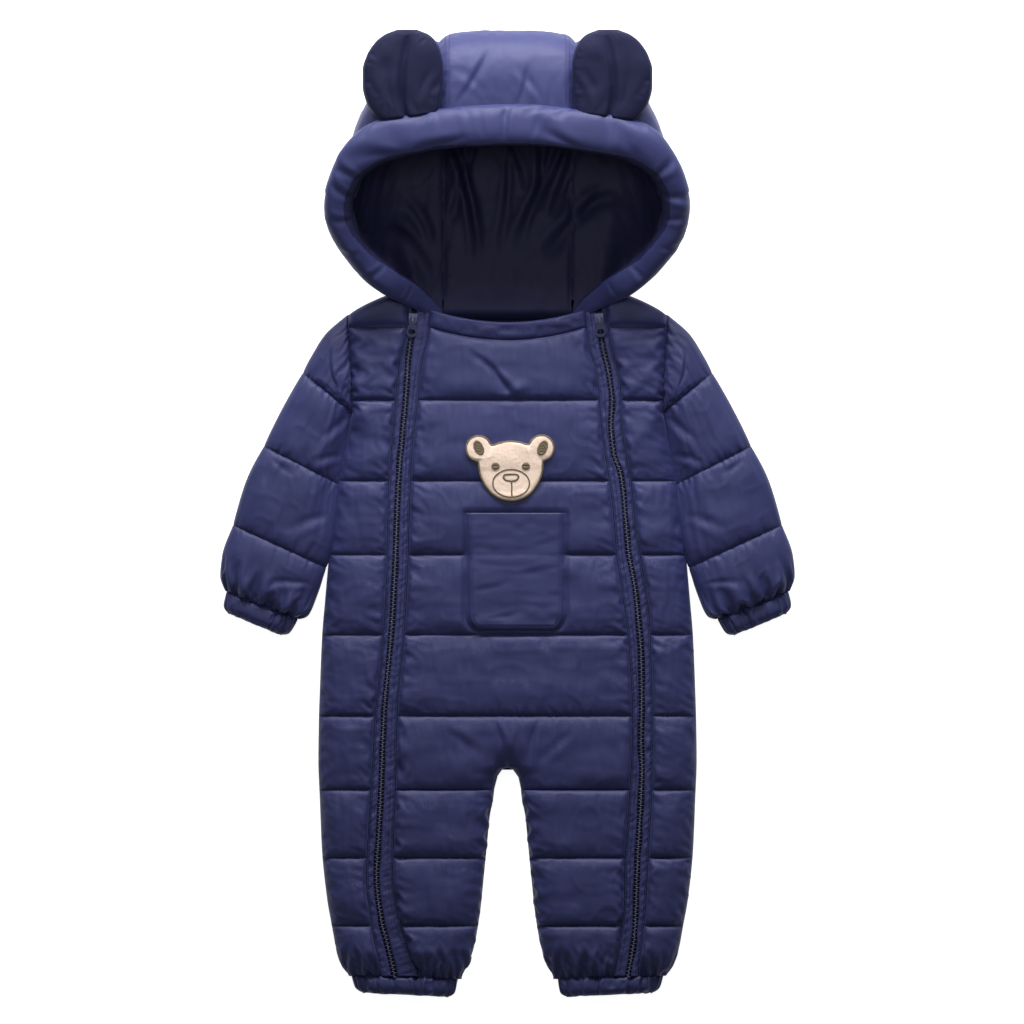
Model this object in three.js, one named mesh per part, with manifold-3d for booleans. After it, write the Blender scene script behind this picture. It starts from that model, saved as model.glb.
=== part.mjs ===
// A baby's padded one-piece snowsuit, laid out on its back, with its hood propped open and bear ears on the hood.
// Millimetres. +Z is up from the surface, +Y runs from the leg hems to the hood, and +X is the wearer's left.
// Front and back are quilted panels that lie on each other at the height MID. Sleeves and cuffs are flattened
// tubes. The hood is a hollow bowl of three padded panels with a padded roll round the face opening.
import * as THREE from "three";
import { mergeVertices } from "three/addons/utils/BufferGeometryUtils.js";
import Module from "manifold-3d";

const wasm = await Module();
wasm.setup();

// Driving dimensions
const MID = 14; // height at which the front panels lie on the back
const GAP = 0.3; // between neighbouring pieces
const SEAM_RISE = 5; // a quilted panel's thickness along its stitching
const EDGE_RISE = 2.5; // and along the folded side of the garment
const FRONT_LOFT = 18; // a front panel's thickness at the top of a quilted tube
const NECK_RISE = 5; // more of it on the back's top edge, where the hood is sewn on
const BACK_LOFT = 17; // the back's, before it is pressed flat on the surface
const SIDE_ROUNDING = 30; // how far in from the side the padding reaches its full height
const SEAM_ROUNDING = 11; // the same beside a stitched edge
const ROWS_PER_TUBE = 4; // steps across one quilted tube
const NECK_DROP_Y = 181; // lowest point of the front neckline
const NECK_HALF_WIDTH = 100;
const SHOULDER_Y = 203; // top of the shoulders beside the neck
const SHOULDER_TIP = { x: 150, y: 186 };
const ARMPIT = { x: 146, y: 96 };
const CROTCH_Y = -238.3;
const LEG_TOP_Y = -259; // quilting line just under the crotch, where each leg begins
const CUFF_SEAM_Y = -434;

// Quilting lines across the body, from the shoulders down
const YOKE_LINE = 176.3;
const BODY_LINES = [107.6, 31.5, -38, -113.3, -189.4, LEG_TOP_Y];
const LEG_LINES = [-322.9, -386.8];

// Half the garment's width at its side fold
const SIDE_FOLD = [
  { y: 96, half: 146 },
  { y: 60, half: 153.7 },
  { y: 31.5, half: 159.3 },
  { y: -5, half: 164 },
  { y: -38, half: 167.8 },
  { y: -80, half: 171.6 },
  { y: -113, half: 174.4 },
  { y: -156, half: 176.3 },
  { y: -203, half: 177.7 },
  { y: -231, half: 178 },
  { y: -268, half: 176.6 },
  { y: -315, half: 174.6 },
  { y: -362, half: 169.7 },
  { y: -386, half: 165.4 },
  { y: -409, half: 161 },
  { y: -423, half: 155.8 },
  { y: CUFF_SEAM_Y, half: 148.5 },
];

// Inside leg, from the crotch down
const INSIDE_LEG = [
  { y: CROTCH_Y, x: 0 },
  { y: -240.2, x: 5.2 },
  { y: -246.8, x: 8.9 },
  { y: -254.3, x: 11.8 },
  { y: -268.4, x: 13.6 },
  { y: -282.5, x: 16.5 },
  { y: -310.7, x: 19.3 },
  { y: -338.9, x: 22.1 },
  { y: -367.1, x: 24.9 },
  { y: -381.2, x: 26.8 },
  { y: -402.8, x: 30.6 },
  { y: -418.8, x: 35.3 },
  { y: CUFF_SEAM_Y, x: 43 },
];

// Zips: where the teeth run, and how far the bands reach from them on the outer and the inner side
const ZIP_RIGHT = [
  { y: 200, teeth: -87.8, outer: 5, inner: 15 },
  { y: 186.6, teeth: -88.8, outer: 5, inner: 16 },
  { y: 166.9, teeth: -90.7, outer: 5.4, inner: 16 },
  { y: 145.2, teeth: -93.5, outer: 8, inner: 14 },
  { y: 107.6, teeth: -95.9, outer: 9.6, inner: 12 },
  { y: 60.6, teeth: -100.1, outer: 9.6, inner: 10.8 },
  { y: 24.9, teeth: -102.9, outer: 9.4, inner: 11.8 },
  { y: -48.4, teeth: -105.8, outer: 8, inner: 12.4 },
  { y: -89.8, teeth: -108, outer: 7.6, inner: 12.6 },
  { y: -132, teeth: -111.1, outer: 7.6, inner: 12.4 },
  { y: -185.7, teeth: -116.1, outer: 8.5, inner: 13 },
  { y: -253.3, teeth: -118.9, outer: 9.4, inner: 14 },
  { y: -295.6, teeth: -120.8, outer: 10.3, inner: 14.6 },
  { y: -341.7, teeth: -123.3, outer: 9.8, inner: 16 },
  { y: -382.1, teeth: -118.9, outer: 10, inner: 18 },
  { y: -403.7, teeth: -113.3, outer: 12, inner: 19 },
  { y: CUFF_SEAM_Y, teeth: -106.5, outer: 12, inner: 23 },
];
const ZIP_LEFT = [
  { y: 200, teeth: 84.5, outer: 7.5, inner: 13 },
  { y: 186.6, teeth: 86, outer: 8, inner: 13 },
  { y: 161.2, teeth: 88.8, outer: 8, inner: 13 },
  { y: 128.3, teeth: 95.7, outer: 9.6, inner: 12 },
  { y: 106.7, teeth: 98.2, outer: 9, inner: 12 },
  { y: 85, teeth: 97.3, outer: 10, inner: 9.8 },
  { y: 57.8, teeth: 99.7, outer: 12, inner: 8.5 },
  { y: 36.2, teeth: 106.7, outer: 9, inner: 12 },
  { y: -8, teeth: 111.4, outer: 9, inner: 11.4 },
  { y: -38, teeth: 114.2, outer: 11, inner: 12 },
  { y: -71, teeth: 119.9, outer: 10.7, inner: 13 },
  { y: -97.3, teeth: 122.7, outer: 11, inner: 11.7 },
  { y: -130.2, teeth: 125.5, outer: 9.6, inner: 11.3 },
  { y: -172.5, teeth: 126.2, outer: 10, inner: 9.4 },
  { y: -212.9, teeth: 125.5, outer: 11, inner: 8.6 },
  { y: -240.2, teeth: 126.4, outer: 10, inner: 10.6 },
  { y: -280.6, teeth: 124.8, outer: 10.4, inner: 11.7 },
  { y: -327.6, teeth: 122.2, outer: 10.3, inner: 12.2 },
  { y: -368, teeth: 120.8, outer: 9.5, inner: 11.4 },
  { y: -395.3, teeth: 119.5, outer: 8, inner: 14 },
  { y: CUFF_SEAM_Y, teeth: 113.5, outer: 9, inner: 14 },
];
const TEETH_HALF_WIDTH = 2.4;
const TEETH_RISE = 8.8; // top of the teeth above MID
const BAND_RISE = 7; // top of the bands above MID

// Sleeve, mirrored for the other side. stage 0 is the armhole, 1 to 3 are quilting lines and 4 is the cuff seam.
const SLEEVE = [
  { stage: 0, outerX: 150.6, outerY: 185.6, innerX: 147, innerY: 97.5 },
  { stage: 0.35, outerX: 171.6, outerY: 168.7, innerX: 147.4, innerY: 96.2 },
  { stage: 0.7, outerX: 184.5, outerY: 149, innerX: 147.8, innerY: 94.9 },
  { stage: 1, outerX: 193.2, outerY: 133.4, innerX: 148.3, innerY: 93.5 },
  { stage: 1.5, outerX: 212, outerY: 99.5, innerX: 154.6, innerY: 61 },
  { stage: 2, outerX: 229.8, outerY: 64.4, innerX: 161.4, innerY: 27 },
  { stage: 2.5, outerX: 245.6, outerY: 32.5, innerX: 166, innerY: -11 },
  { stage: 3, outerX: 258.8, outerY: -9.7, innerX: 171.2, innerY: -50.3 },
  { stage: 3.5, outerX: 268.6, outerY: -40, innerX: 180, innerY: -79 },
  { stage: 3.8, outerX: 269.8, outerY: -58, innerX: 189, innerY: -96 },
  { stage: 4, outerX: 265.8, outerY: -72.6, innerX: 196.6, innerY: -99.2 },
];
const SLEEVE_STEPS = 16;
const SLEEVE_POINTS = 24; // round the tube
const SLEEVE_TOP = 18; // above MID at the top of a tube
const SLEEVE_TOP_AT_LINE = 9;
const SLEEVE_UNDER_AT_LINE = 8; // below MID, where the loft is pressed flat at MID
const SLIT = 1.2; // space left between the two layers inside a flattened tube
const SLIT_INSET = 7; // from the fold of the tube to the slit's side

// Cuffs are gathered on elastic. Each is a flattened tube between its seam and its open end.
const SLEEVE_CUFF = {
  seam: [new THREE.Vector2(265, -73.4), new THREE.Vector2(197.3, -99.6)],
  end: [new THREE.Vector2(269.4, -89.5), new THREE.Vector2(206, -116)],
};
const LEG_CUFF = {
  seam: [new THREE.Vector2(147, CUFF_SEAM_Y - GAP), new THREE.Vector2(46.5, CUFF_SEAM_Y - 3 - GAP)],
  end: [new THREE.Vector2(143.5, -449), new THREE.Vector2(48.5, -453.6)],
};
const CUFF_HALF_HEIGHT = 8.6;
const CUFF_GATHERS = 11; // round one cuff
const CUFF_GATHER_DEPTH = 1.5;
const POINTS_PER_GATHER = 4;
const CUFF_RINGS = 3;

// Hood. The face opening's roll, from the middle of its top to its end beside the zip, mirrored for the other
// side: the roll's centre, and half its size seen from above (wide) and from the side (tall).
const BRIM = [
  { x: 0, y: 364, z: 103, wide: 19.5, tall: 13 },
  { x: 39, y: 363.5, z: 103, wide: 19, tall: 13 },
  { x: 80.4, y: 357.5, z: 102, wide: 18.5, tall: 13.5 },
  { x: 118.8, y: 346, z: 98, wide: 17, tall: 15 },
  { x: 144, y: 326, z: 91, wide: 13.5, tall: 17 },
  { x: 156, y: 296.5, z: 81, wide: 11, tall: 18 },
  { x: 153, y: 266.5, z: 70, wide: 10.5, tall: 17 },
  { x: 132.5, y: 236.5, z: 56, wide: 11.5, tall: 14 },
  { x: 110, y: 217.5, z: 46, wide: 12, tall: 11 },
  { x: 88, y: 204.5, z: 41, wide: 9.5, tall: 8 },
  { x: 73, y: 196.5, z: 38, wide: 6, tall: 5 },
];
const BRIM_STEPS = 32;
const BRIM_POINTS = 10;
const HOOD_POLE = 157; // where the hood's wall closes under the side of the roll
const HOOD_POLE_Y = 296;
const HOOD_POLE_Z = 80;
const HOOD_STRIP_HALF = 64; // the centre strip's half width
const HOOD_FLAT_HALF = 98; // half the width that lies on the surface
const HOOD_CROWN_Y = 460;
const HOOD_NECK_Y = SHOULDER_Y + GAP;
const HOOD_WALL = 10;
const HOOD_WALL_AT_SEAM = 5;
const HOOD_CURVE_POINTS = 16;

// Ear outline on the wearer's left, mirrored: half width and centre at each distance up the ear
const EAR = [
  { y: 372, centre: 92, half: 27 },
  { y: 379, centre: 94.5, half: 31.5 },
  { y: 390, centre: 97, half: 35.5 },
  { y: 404, centre: 98, half: 37.6 },
  { y: 418, centre: 98, half: 37.6 },
  { y: 431, centre: 97, half: 34.6 },
  { y: 442, centre: 95.5, half: 28.5 },
  { y: 449, centre: 94.5, half: 20.5 },
  { y: 453.6, centre: 94, half: 9 },
];
const EAR_Z = 101;
const EAR_HALF_THICKNESS = 9;
const EAR_RIM = 2;
const EAR_CREASE = { depth: 4.5, halfWidth: 7, topY: 444 };

const POCKET = { left: -41.8, right: 55.9, top: 1.4, bottom: -111.4, radius: 19, lift: 3.2 };
const BEAR = { x: 3, y: 41, lift: 3 };

const SLIDER_Y = 184.5;
const SLIDER = { length: 9, wideEnd: 8.4, narrowEnd: 6.6, plate: 2, flange: 1.4, flangeDrop: 1.3 };
const BAIL = { reach: 2.9, legs: 1, width: 2, height: 4, top: 0.9 };
const TAB = { length: 18, thickness: 1.4, neck: 2.8, end: 5.2, pivotRise: 1.55, tilt: 7.5 };

const CLOTH = new THREE.MeshStandardMaterial({ color: 0x2b2d55, roughness: 0.5, metalness: 0 });
const LINING = new THREE.MeshStandardMaterial({ color: 0x1b1b38, roughness: 0.7, metalness: 0 });
const TEETH = new THREE.MeshStandardMaterial({ color: 0x14151c, roughness: 0.4, metalness: 0 });
const METAL = new THREE.MeshStandardMaterial({ color: 0x3a3c5c, roughness: 0.35, metalness: 0.8 });
const PLUSH = new THREE.MeshStandardMaterial({ color: 0xe6cdb4, roughness: 0.95, metalness: 0 });

// Curves

// A smooth curve with no overshoot through two columns of a table, whose first column runs up or down.
function through(table, from, to) {
  const rows = [...table].sort((a, b) => a[from] - b[from]);
  const at = rows.map((row) => row[from]);
  const value = rows.map((row) => row[to]);
  const slope = at.slice(1).map((x, i) => (value[i + 1] - value[i]) / (x - at[i]));
  const tangent = at.map((_, i) => {
    if (i === 0) return slope[0];
    if (i === at.length - 1) return slope[i - 1];
    const product = slope[i - 1] * slope[i];
    return product > 0 ? (2 * product) / (slope[i - 1] + slope[i]) : 0;
  });
  return (x) => {
    if (x <= at[0]) return value[0];
    if (x >= at[at.length - 1]) return value[at.length - 1];
    const i = at.findIndex((a, k) => x < at[k + 1]);
    const width = at[i + 1] - at[i];
    const t = (x - at[i]) / width;
    const t2 = t * t;
    const t3 = t2 * t;
    return (
      (2 * t3 - 3 * t2 + 1) * value[i] +
      (t3 - 2 * t2 + t) * width * tangent[i] +
      (3 * t2 - 2 * t3) * value[i + 1] +
      (t3 - t2) * width * tangent[i + 1]
    );
  };
}

const mix = (a, b, t) => a + (b - a) * t;

// Rises like a quarter circle from 0 to 1 over the given reach.
const rounded = (distance, reach) => {
  const s = Math.min(1, Math.max(0, distance / reach));
  return Math.sqrt(1 - (1 - s) ** 2);
};

// The padding's height across a quilted tube, from 0 at one line of stitching to 0 at the next.
const puff = (s) => (1 - Math.abs(2 * s - 1) ** 2.4) ** 0.6;

// Solids

function closedGeometry(points, faces) {
  let volume = 0;
  for (const [a, b, c] of faces) volume += points[a].dot(points[b].clone().cross(points[c]));
  const outward = volume < 0 ? faces.map(([a, b, c]) => [a, c, b]) : faces;
  const geometry = new THREE.BufferGeometry().setFromPoints(points);
  geometry.setIndex(outward.flat());
  return geometry;
}

const quad = (a, b, c, d) => [
  [a, b, c],
  [a, c, d],
];

function solidOf(geometry) {
  const bare = geometry.clone();
  bare.deleteAttribute("normal");
  bare.deleteAttribute("uv");
  const merged = mergeVertices(bare, 1e-4);
  return new wasm.Manifold(
    new wasm.Mesh({
      numProp: 3,
      vertProperties: merged.attributes.position.array,
      triVerts: new Uint32Array(merged.index.array),
    }),
  );
}

function geometryOf(solid) {
  const mesh = solid.getMesh();
  const geometry = new THREE.BufferGeometry();
  geometry.setAttribute("position", new THREE.BufferAttribute(mesh.vertProperties, 3));
  geometry.setIndex(new THREE.BufferAttribute(mesh.triVerts, 1));
  return geometry;
}

// The main body of a solid that a cut has parted
const mainBody = (solid) => solid.decompose().reduce((a, b) => (b.volume() > a.volume() ? b : a));

const raised = (geometry, height) => solidOf(geometry.clone().translate(0, 0, height));

// A closed loft through rings of equally many points, with both ends closed.
function loft(rings) {
  const points = rings.flat();
  const count = rings[0].length;
  const faces = [];
  for (let r = 0; r + 1 < rings.length; r++) {
    for (let i = 0; i < count; i++) {
      const next = (i + 1) % count;
      faces.push(...quad(r * count + i, r * count + next, (r + 1) * count + next, (r + 1) * count + i));
    }
  }
  const last = (rings.length - 1) * count;
  const middle = (ring) => ring.reduce((sum, p) => sum.add(p), new THREE.Vector3()).divideScalar(ring.length);
  points.push(middle(rings[0]), middle(rings[rings.length - 1]));
  for (let i = 0; i < count; i++) {
    const next = (i + 1) % count;
    faces.push([next, i, points.length - 2], [last + i, last + next, points.length - 1]);
  }
  return closedGeometry(points, faces);
}

// Steps across one quilted tube, closer together beside the stitching.
const tubeSteps = (steps) => [...Array(steps + 1).keys()].map((i) => (1 - Math.cos((Math.PI * i) / steps)) / 2);

// A padded panel. Its quilted side is a grid of points between its left and right edges and from each line of
// stitching to the next, at the height that face gives, and its inner side is flat at innerZ.
function panel({ lines, left, right, columns, face, innerZ }) {
  const grid = [];
  for (let k = 0; k + 1 < lines.length; k++) {
    for (const s of tubeSteps(ROWS_PER_TUBE)) {
      if (k > 0 && s === 0) continue;
      grid.push(
        columns.map((c) => {
          let y = mix(lines[k](0), lines[k + 1](0), s);
          let x = 0;
          for (let pass = 0; pass < 4; pass++) {
            x = mix(left(y), right(y), c);
            y = mix(lines[k](x), lines[k + 1](x), s);
          }
          const place = { x, y, s, fromLeft: x - left(y), fromRight: right(y) - x };
          return new THREE.Vector3(x, y, face(place));
        }),
      );
    }
  }
  const rows = grid.length;
  const wide = columns.length;
  const points = grid.flat();
  const faces = [];
  for (let r = 0; r + 1 < rows; r++) {
    for (let c = 0; c + 1 < wide; c++) {
      const a = r * wide + c;
      faces.push(...quad(a, a + wide, a + wide + 1, a + 1));
    }
  }
  const rim = [];
  for (let c = 0; c < wide; c++) rim.push(c);
  for (let r = 1; r < rows; r++) rim.push(r * wide + wide - 1);
  for (let c = wide - 2; c >= 0; c--) rim.push((rows - 1) * wide + c);
  for (let r = rows - 2; r > 0; r--) rim.push(r * wide);
  const first = points.length;
  for (const i of rim) points.push(new THREE.Vector3(points[i].x, points[i].y, innerZ));
  rim.forEach((i, n) => {
    const next = (n + 1) % rim.length;
    faces.push(...quad(i, rim[next], first + next, first + n));
  });
  const outline = rim.map((i) => new THREE.Vector2(points[i].x, points[i].y));
  for (const [a, b, c] of THREE.ShapeUtils.triangulateShape(outline, [])) {
    faces.push([first + a, first + c, first + b]);
  }
  return closedGeometry(points, faces);
}

// The body's outline and its lines of stitching

const sideBelowArm = through(SIDE_FOLD, "y", "half");
const sideOf = (y) => {
  if (y <= ARMPIT.y) return sideBelowArm(y);
  return mix(ARMPIT.x, SHOULDER_TIP.x, (y - ARMPIT.y) / (SHOULDER_TIP.y - ARMPIT.y));
};
const insideLeg = through(INSIDE_LEG, "y", "x");

// Top edge of the front, round the neck and along the shoulder
const frontTop = (x) => {
  const across = Math.abs(x);
  const rise = (SHOULDER_Y - NECK_DROP_Y) * (across / NECK_HALF_WIDTH) ** 2;
  if (across <= NECK_HALF_WIDTH) return NECK_DROP_Y + rise;
  const along = (across - NECK_HALF_WIDTH) / (SHOULDER_TIP.x - NECK_HALF_WIDTH);
  return mix(SHOULDER_Y, SHOULDER_TIP.y, along);
};
const NECK_BAND = 16.7; // height of the band below the neckline
const neckBandSeam = (x) => frontTop(x) - NECK_BAND;
const backTop = (x) => Math.min(SHOULDER_Y, frontTop(Math.max(Math.abs(x), NECK_HALF_WIDTH)));
const level = (y) => () => y;

// Bottom edge of the body between the legs: straight, with the crotch's arch cut up into it
const crotchArch = (x) => {
  const across = Math.abs(x);
  const half = insideLeg(LEG_TOP_Y);
  if (across >= half) return LEG_TOP_Y;
  return mix(CROTCH_Y, LEG_TOP_Y, 1 - Math.sqrt(1 - (across / half) ** 2));
};
const fromCrotch = (x, y) => (y > CROTCH_Y ? Math.hypot(x, y - CROTCH_Y) : Math.abs(x) - insideLeg(y));

function zipOf(table) {
  const side = Math.sign(table[0].teeth);
  const teeth = through(table, "y", "teeth");
  const outer = through(table, "y", "outer");
  const inner = through(table, "y", "inner");
  return {
    side,
    teeth,
    outerEdge: (y) => teeth(y) + side * outer(y),
    innerEdge: (y) => teeth(y) - side * inner(y),
    outerTeeth: (y) => teeth(y) + side * TEETH_HALF_WIDTH,
    innerTeeth: (y) => teeth(y) - side * TEETH_HALF_WIDTH,
  };
}
const zips = { right: zipOf(ZIP_RIGHT), left: zipOf(ZIP_LEFT) };

// Heights of the padded faces

const sideRounding = (y) => (y > ARMPIT.y ? SEAM_ROUNDING : mix(SEAM_ROUNDING, SIDE_ROUNDING, Math.min(1, (ARMPIT.y - y) / 25)));
const sideRise = (y) => (y > ARMPIT.y ? SEAM_RISE : mix(SEAM_RISE, EDGE_RISE, Math.min(1, (ARMPIT.y - y) / 25)));

// How full the padding is at a place on the body, from 0 at the outline to 1 well inside it
const insideOutline = (x, y) => {
  const fold = rounded(sideOf(y) - Math.abs(x), sideRounding(y));
  return fold * rounded(fromCrotch(x, y), SIDE_ROUNDING);
};

const GATHER_REACH = 34; // how far up from a cuff its gathers run
const gathers = (x, y) => {
  const near = Math.max(0, 1 - (y - CUFF_SEAM_Y) / GATHER_REACH);
  return near ** 1.5 * 2.2 * Math.sin(x * 0.52);
};

// Front: from each panel's stitched edges the padding rises to its loft.
function frontFace({ x, y, s, fromLeft, fromRight }) {
  const inside = insideOutline(x, y);
  const beside = rounded(fromLeft, SEAM_ROUNDING) * rounded(fromRight, SEAM_ROUNDING);
  const isSide = Math.abs(x) > sideOf(y) - SIDE_ROUNDING;
  const stitched = isSide ? rounded(Math.min(fromLeft, fromRight) + (sideOf(y) - Math.abs(x) < 20 ? 99 : 0), SEAM_ROUNDING) : beside;
  const rise = mix(sideRise(y), SEAM_RISE, inside);
  return MID + GAP / 2 + rise + (FRONT_LOFT - SEAM_RISE) * puff(s) * inside * stitched + gathers(x, y) * inside;
}

function backFace({ x, y, s }) {
  const inside = insideOutline(x, y);
  const full = Math.min(1, 1.2 * puff(s));
  const atNeck = NECK_RISE * Math.max(0, (y - YOKE_LINE) / (SHOULDER_Y - YOKE_LINE));
  const seam = mix(sideRise(y), SEAM_RISE, inside) + atNeck;
  const depth = seam + (BACK_LOFT - SEAM_RISE) * full * Math.min(1, inside * 1.1);
  return Math.max(0, MID - GAP / 2 - depth);
}

// Evenly spaced columns, closer together beside the left or right edge where there is rounding
const columnsOf = (count, leftPower, rightPower) =>
  [...Array(count + 1).keys()].map((i) => {
    const t = i / count;
    const fromRight = 1 - (1 - t) ** rightPower;
    return mix(t ** leftPower, fromRight, t);
  });
const evenColumns = (count) => columnsOf(count, 1, 1);
// The same with a few columns more where the crotch's arch is cut into the panel's lower edge
function archColumns(left, right) {
  const at = (x) => (x - left) / (right - left);
  const arch = insideLeg(LEG_TOP_Y);
  const middle = [-1, -0.78, -0.3, 0.3, 0.78, 1].map((share) => at(share * arch));
  const steps = [0, 0.07, 0.25, 0.55, 1];
  const before = steps.map((share) => share * at(-arch - 9));
  const after = steps.map((share) => 1 - share * (1 - at(arch + 9))).reverse();
  return [...before, ...middle, ...after];
}
const curvedColumns = (count) => [...Array(count + 1).keys()].map((i) => (1 - Math.cos((Math.PI * i) / count)) / 2);

const bodyLines = BODY_LINES.map(level);
const legLines = LEG_LINES.map(level);
const cuffSeam = (x) => CUFF_SEAM_Y - 3 * Math.max(0, Math.min(1, (147 - Math.abs(x)) / 100)) + GAP / 2;
const inFrontOf = MID + GAP / 2;
const behind = MID - GAP / 2;

function frontCentre() {
  return panel({
    lines: [(x) => neckBandSeam(x) - GAP, ...bodyLines.slice(0, -1), (x) => crotchArch(x) + GAP / 2],
    left: (y) => zips.right.innerEdge(y) + GAP / 2,
    right: (y) => zips.left.innerEdge(y) - GAP / 2,
    columns: archColumns(zips.right.innerEdge(LEG_TOP_Y), zips.left.innerEdge(LEG_TOP_Y)),
    face: frontFace,
    innerZ: inFrontOf,
  });
}

function neckBand() {
  return panel({
    lines: [frontTop, neckBandSeam],
    left: (y) => zips.right.innerEdge(y) + GAP / 2,
    right: (y) => zips.left.innerEdge(y) - GAP / 2,
    columns: archColumns(zips.right.innerEdge(LEG_TOP_Y), zips.left.innerEdge(LEG_TOP_Y)),
    face: ({ s, fromLeft, fromRight }) => {
      const ends = rounded(Math.min(fromLeft, fromRight), SEAM_ROUNDING);
      return MID + SEAM_RISE + 6 * puff(s) * ends + 2 * (1 - s);
    },
    innerZ: inFrontOf,
  });
}

function frontSide(side) {
  const zip = zips[side];
  const sign = zip.side;
  const nearer = (y) => zip.outerEdge(y) + sign * (GAP / 2);
  const fold = (y) => sign * sideOf(y);
  return panel({
    lines: [frontTop, level(YOKE_LINE), ...bodyLines, ...legLines, cuffSeam],
    left: sign < 0 ? fold : nearer,
    right: sign < 0 ? nearer : fold,
    columns: sign < 0 ? columnsOf(5, 1.7, 1.2) : columnsOf(5, 1.2, 1.7),
    face: frontFace,
    innerZ: inFrontOf,
  });
}

function frontLeg(side) {
  const zip = zips[side];
  const sign = zip.side;
  const seam = (y) => zip.innerEdge(y) - sign * (GAP / 2);
  const inside = (y) => sign * insideLeg(y);
  return panel({
    lines: [level(LEG_TOP_Y - GAP / 2), ...legLines, cuffSeam],
    left: sign < 0 ? seam : inside,
    right: sign < 0 ? inside : seam,
    columns: curvedColumns(9),
    face: frontFace,
    innerZ: inFrontOf,
  });
}

function backBody() {
  return panel({
    lines: [backTop, level(YOKE_LINE), ...bodyLines.slice(0, -1), (x) => crotchArch(x) + GAP / 2],
    left: (y) => -sideOf(y),
    right: sideOf,
    columns: archColumns(-sideOf(LEG_TOP_Y), sideOf(LEG_TOP_Y)),
    face: backFace,
    innerZ: behind,
  });
}

function backLeg(side) {
  const sign = zips[side].side;
  const fold = (y) => sign * sideOf(y);
  const inside = (y) => sign * insideLeg(y);
  return panel({
    lines: [level(LEG_TOP_Y - GAP / 2), ...legLines, cuffSeam],
    left: sign < 0 ? fold : inside,
    right: sign < 0 ? inside : fold,
    columns: curvedColumns(8),
    face: backFace,
    innerZ: behind,
  });
}

// Zips

// A narrow strip of the front between two edges that run down the garment
function strip(from, to, face) {
  return panel({
    lines: [(x) => frontTop(x) - 2, level(YOKE_LINE), ...bodyLines, ...legLines, cuffSeam],
    left: (y) => Math.min(from(y), to(y)) + GAP / 2,
    right: (y) => Math.max(from(y), to(y)) - GAP / 2,
    columns: evenColumns(1),
    face,
    innerZ: inFrontOf,
  });
}
const bandFace = ({ y }) => MID + BAND_RISE + 0.5 * Math.sin(y * 0.21);
const outerBand = (zip) => strip(zip.outerTeeth, zip.outerEdge, bandFace);
const innerBand = (zip) => strip(zip.innerEdge, zip.innerTeeth, bandFace);
const teethRow = (zip) => strip(zip.innerTeeth, zip.outerTeeth, () => MID + TEETH_RISE);

// Slider and pull tab, in their own frame: x across the zip, y along it towards the neck, z up from the teeth

function box(width, length, height, x, y, z) {
  return solidOf(new THREE.BoxGeometry(width, length, height).translate(x, y, z + height / 2));
}

function sliderGeometry() {
  const half = SLIDER.length / 2;
  const outline = new THREE.Shape([
    new THREE.Vector2(-SLIDER.wideEnd / 2, half),
    new THREE.Vector2(-SLIDER.narrowEnd / 2, -half),
    new THREE.Vector2(SLIDER.narrowEnd / 2, -half),
    new THREE.Vector2(SLIDER.wideEnd / 2, half),
  ]);
  const depth = SLIDER.plate + SLIDER.flangeDrop;
  const block = new THREE.ExtrudeGeometry(outline, { depth, bevelEnabled: false });
  block.translate(0, 0, -SLIDER.flangeDrop);
  const channel = box(2 * (TEETH_HALF_WIDTH + GAP), SLIDER.length + 2, SLIDER.flangeDrop, 0, 0, -SLIDER.flangeDrop);
  const span = 2 * BAIL.reach;
  const bail = box(BAIL.width, span, BAIL.height + 0.5, 0, 0, SLIDER.plate - 0.5);
  const under = box(BAIL.width + 1, span - 2 * BAIL.legs, BAIL.height - BAIL.top, 0, 0, SLIDER.plate);
  return geometryOf(solidOf(block).subtract(channel).add(bail.subtract(under)));
}

function tabGeometry() {
  const outline = new THREE.Shape();
  outline.moveTo(-TAB.neck, 0.7);
  outline.lineTo(-TAB.neck, -5);
  outline.lineTo(-TAB.end, -TAB.length + TAB.end);
  outline.absarc(0, -TAB.length + TAB.end, TAB.end, Math.PI, 2 * Math.PI, false);
  outline.lineTo(TAB.neck, -5);
  outline.lineTo(TAB.neck, 0.7);
  const forBail = new THREE.Path();
  const bailHalf = BAIL.width / 2 + 0.5;
  forBail.moveTo(-bailHalf, -0.7);
  forBail.lineTo(bailHalf, -0.7);
  forBail.lineTo(bailHalf, -4.4);
  forBail.lineTo(-bailHalf, -4.4);
  const ring = new THREE.Path();
  ring.absellipse(0, -TAB.length + TAB.end, TAB.end - 1.7, TAB.end - 2.6, 0, 2 * Math.PI, false);
  outline.holes.push(forBail, ring);
  const tab = new THREE.ExtrudeGeometry(outline, { depth: TAB.thickness, bevelEnabled: false, curveSegments: 7 });
  return tab.translate(0, 0, -TAB.thickness / 2);
}

function onZip(side, geometry, rise, tilt) {
  const zip = zips[side];
  const lean = Math.atan2(zip.teeth(SLIDER_Y - 8) - zip.teeth(SLIDER_Y + 8), 16);
  const placed = geometry.clone().rotateX(THREE.MathUtils.degToRad(tilt)).rotateZ(lean);
  return placed.translate(zip.teeth(SLIDER_Y), SLIDER_Y, MID + TEETH_RISE + GAP + rise);
}

// Sleeves and cuffs

const sleeveColumn = Object.fromEntries(
  ["outerX", "outerY", "innerX", "innerY"].map((name) => [name, through(SLEEVE, "stage", name)]),
);

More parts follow.
